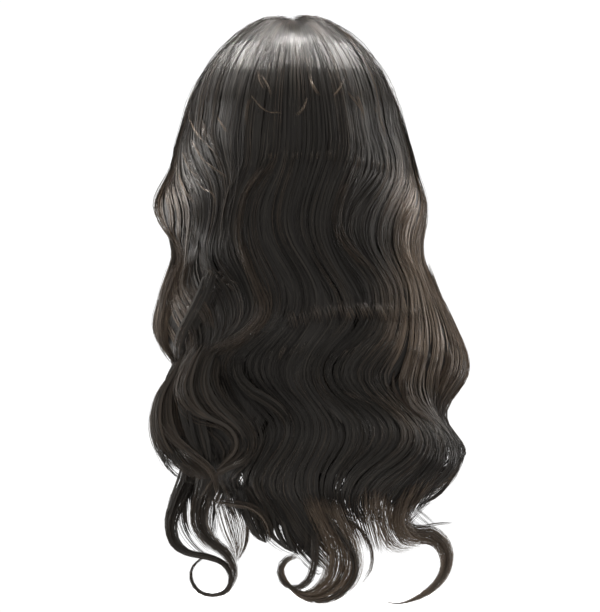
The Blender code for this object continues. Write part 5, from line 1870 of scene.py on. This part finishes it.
class WIG_OT_ear_tabs(bpy.types.Operator):
    """Sew the two ear tabs"""

    bl_idname = "wig.ear_tabs"
    bl_label = "Sew Ear Tabs"

    def execute(self, context):
        settings = context.scene.wig_cap
        thread = thread_material("tab thread", settings.lace_thread)
        worn = (lace_material(settings), thread, thread)
        tree = sewing_tree()
        for node, way in (("ear_tab_left", -1), ("ear_tab_right", 1)):
            tress = Tress()
            angles = np.linspace(*TAB_ANGLES, 13)[::way] * way
            cap_cloth(tress, angles, tab_head, tab_foot, BAND_WALL, 8, SEAM_GAP)
            # The hem runs down one side, round the foot and up the other.
            for inset, kind, size in ((0.0006, BAND, 0.0010), (0.0034, SEAM, 0.0)):
                turn = math.degrees(inset / HALF_WIDTH)
                inner = np.linspace(TAB_ANGLES[0] + turn, TAB_ANGLES[1] - turn, 15)
                places = [(way * angle, tab_foot(angle) - inset) for angle in inner]
                for angle, ahead in ((inner[0], True), (inner[-1], False)):
                    heights = np.linspace(tab_head(angle) + 0.001, tab_foot(angle) - inset, 5)[:-1]
                    side = [(way * angle, drop) for drop in heights]
                    places = side + places if ahead else places + side[::-1]
                cap_row(tress, places, BAND_WALL if kind == SEAM else BAND_WALL / 2, kind, size, SEAM_GAP)
                if kind == SEAM:
                    cap_row(tress, places, 0.0, kind, size, SEAM_GAP, inwards=True)
            piece = sew(node, tress, tree, settings, worn, {"Band Flatness": 1.0})
        return {"FINISHED"}


class WigStage(bpy.types.PropertyGroup):
    """Floor, lights and camera."""

    distance: measure("Distance", "From the camera to the wig", 3.2, unit="LENGTH")
    elevation: measure("Elevation", "Camera above the horizon", math.radians(1.5), subtype="ANGLE")
    floor_gap: measure("Floor Gap", "From the lowest curl to the floor", 0.035, unit="LENGTH")
    floor: tint("Floor", "Colour of the floor", "#f8f8f8")
    floor_radius: measure("Floor Radius", "Radius of the floor", 0.30, unit="LENGTH")
    backdrop: measure("Backdrop", "Brightness of the backdrop", 1.05)
    far_wall: measure("Far Wall", "Light from behind the wig", 0.50)
    near_wall: measure("Near Wall", "Light from the camera's side", 0.37)
    top_light: measure("Top Light", "Power of each light overhead", 10.0, unit="POWER")
    crown_light: measure("Crown Light", "Power of the light over the crown", 2.6, unit="POWER")
    side_light: measure("Side Light", "Power of each light beside the crown", 3.0, unit="POWER")
    rim_light: measure("Rim Light", "Power of each light behind the outlines", 9.0, unit="POWER")
    back_light: measure("Camera Light", "Power of the light behind the camera", 2.0, unit="POWER")


def area_light(name, place, target, size, power):
    data = bpy.data.lights.new(name, "AREA")
    data.shape, data.size, data.size_y, data.energy = "RECTANGLE", *size, power
    light = bpy.data.objects.new(name, data)
    light.location = place
    light.rotation_euler = (Vector(target) - Vector(place)).to_track_quat("-Z", "Y").to_euler()
    bpy.context.scene.collection.objects.link(light)


class WIG_OT_stage(bpy.types.Operator):
    """Set up the floor, the lights and the camera"""

    bl_idname = "wig.stage"
    bl_label = "Set Up Stage"

    def execute(self, context):
        scene, settings = context.scene, context.scene.wig_stage
        place = (0, 0.08, CAD_BOX[0][2] - settings.floor_gap)
        radius = settings.floor_radius
        bpy.ops.mesh.primitive_circle_add(vertices=96, radius=radius, fill_type="NGON", location=place)
        floor = context.object
        floor.name = "floor"
        paint, tree = new_material("matt studio paint")
        shader = add(tree, "ShaderNodeBsdfPrincipled", {"Base Color": (*settings.floor, 1), "Roughness": 0.9})
        add(tree, "ShaderNodeOutputMaterial", (shader,))
        floor.data.materials.append(paint)
        scene.world = bpy.data.worlds.new("studio")
        scene.world.use_nodes = True
        tree = scene.world.node_tree
        tree.nodes.clear()
        # The walls are white, and the one behind the wig is lit most, as in a product photograph.
        way = add(tree, "ShaderNodeTexCoord", (), "Generated")
        ahead = add(tree, "ShaderNodeSeparateXYZ", (way,), 1)
        inputs = (ahead, -0.1, 0.55, settings.near_wall, settings.far_wall)
        light = add(tree, RANGE, inputs, interpolation_type="SMOOTHSTEP")
        seen = add(tree, "ShaderNodeLightPath", (), "Is Camera Ray")
        strength = add(tree, MIX, {0: seen, 2: light, 3: settings.backdrop}, data_type="FLOAT")
        background = add(tree, "ShaderNodeBackground", {"Color": (1, 1, 1, 1), "Strength": strength})
        add(tree, "ShaderNodeOutputWorld", (background,))
        scene.view_settings.view_transform = "Standard"
        x, z = pixel_place(PHOTO_SIZE[0] / 2, PHOTO_SIZE[1] / 2)
        target = Vector((x, -0.04, z))
        lights = (
            ("overhead strip", (0.44, 0.13, 0.60), (0, 0, 0), (0.50, 0.035), settings.top_light),
            ("side softbox", (0.95, 0.10, 0.75), (0, 0, -0.15), (0.8, 0.5), settings.side_light),
            ("rim softbox", (0.95, 0.30, -0.25), (0, 0, -0.25), (0.5, 1.0), settings.rim_light),
        )
        for side in (-1, 1):
            for name, (over, back, up), *others in lights:
                area_light(name, (side * over, back, up), *others)
        area_light("crown strip", (0.0, 0.08, 0.62), (0, 0, 0), (0.30, 0.035), settings.crown_light)
        area_light("camera softbox", (0.5, -3.2, 1.0), target, (1.6, 1.6), settings.back_light)
        view = Vector((0, -math.cos(settings.elevation), math.sin(settings.elevation)))
        data = bpy.data.cameras.new("camera")
        data.sensor_width = 36
        data.lens = data.sensor_width * settings.distance / (PHOTO_SIZE[1] * PIXEL)
        camera = bpy.data.objects.new("camera", data)
        camera.location = target + view * settings.distance
        camera.rotation_euler = (-view).to_track_quat("-Z", "Y").to_euler()
        scene.collection.objects.link(camera)
        scene.camera = camera
        return {"FINISHED"}


class WIG_PT_panel(bpy.types.Panel):
    """Lists the wig's pieces"""

    bl_label = "Lace Front Wig"
    bl_idname = "WIG_PT_panel"
    bl_space_type = "VIEW_3D"
    bl_region_type = "UI"
    bl_category = "Wig"

    def draw(self, context):
        for group, operators in PANEL_ROWS:
            settings = getattr(context.scene, group)
            for name in settings.bl_rna.properties.keys():
                if name not in ("rna_type", "name"):
                    self.layout.prop(settings, name)
            for operator in operators:
                self.layout.operator(operator.bl_idname)


CAP_OPERATORS = (WIG_OT_cap_net, WIG_OT_lace_front, WIG_OT_nape_band, WIG_OT_ear_tabs)
PANEL_ROWS = (("wig_cap", CAP_OPERATORS), ("wig_hair", (WIG_OT_hair,)), ("wig_stage", (WIG_OT_stage,)))
CLASSES = (WigCap, WigHair, WigStage, *CAP_OPERATORS, WIG_OT_hair, WIG_OT_stage, WIG_PT_panel)


def register():
    for cls in CLASSES:
        bpy.utils.register_class(cls)
    bpy.types.Scene.wig_cap = PointerProperty(type=WigCap)
    bpy.types.Scene.wig_hair = PointerProperty(type=WigHair)
    bpy.types.Scene.wig_stage = PointerProperty(type=WigStage)


def unregister():
    del bpy.types.Scene.wig_cap
    del bpy.types.Scene.wig_hair
    del bpy.types.Scene.wig_stage
    for cls in reversed(CLASSES):
        bpy.utils.unregister_class(cls)


def main():
    register()
    bpy.ops.wig.cap_net()
    bpy.ops.wig.lace_front()
    bpy.ops.wig.nape_band()
    bpy.ops.wig.ear_tabs()
    bpy.ops.wig.hair()
    bpy.ops.wig.stage()


if __name__ == "__main__":
    main()
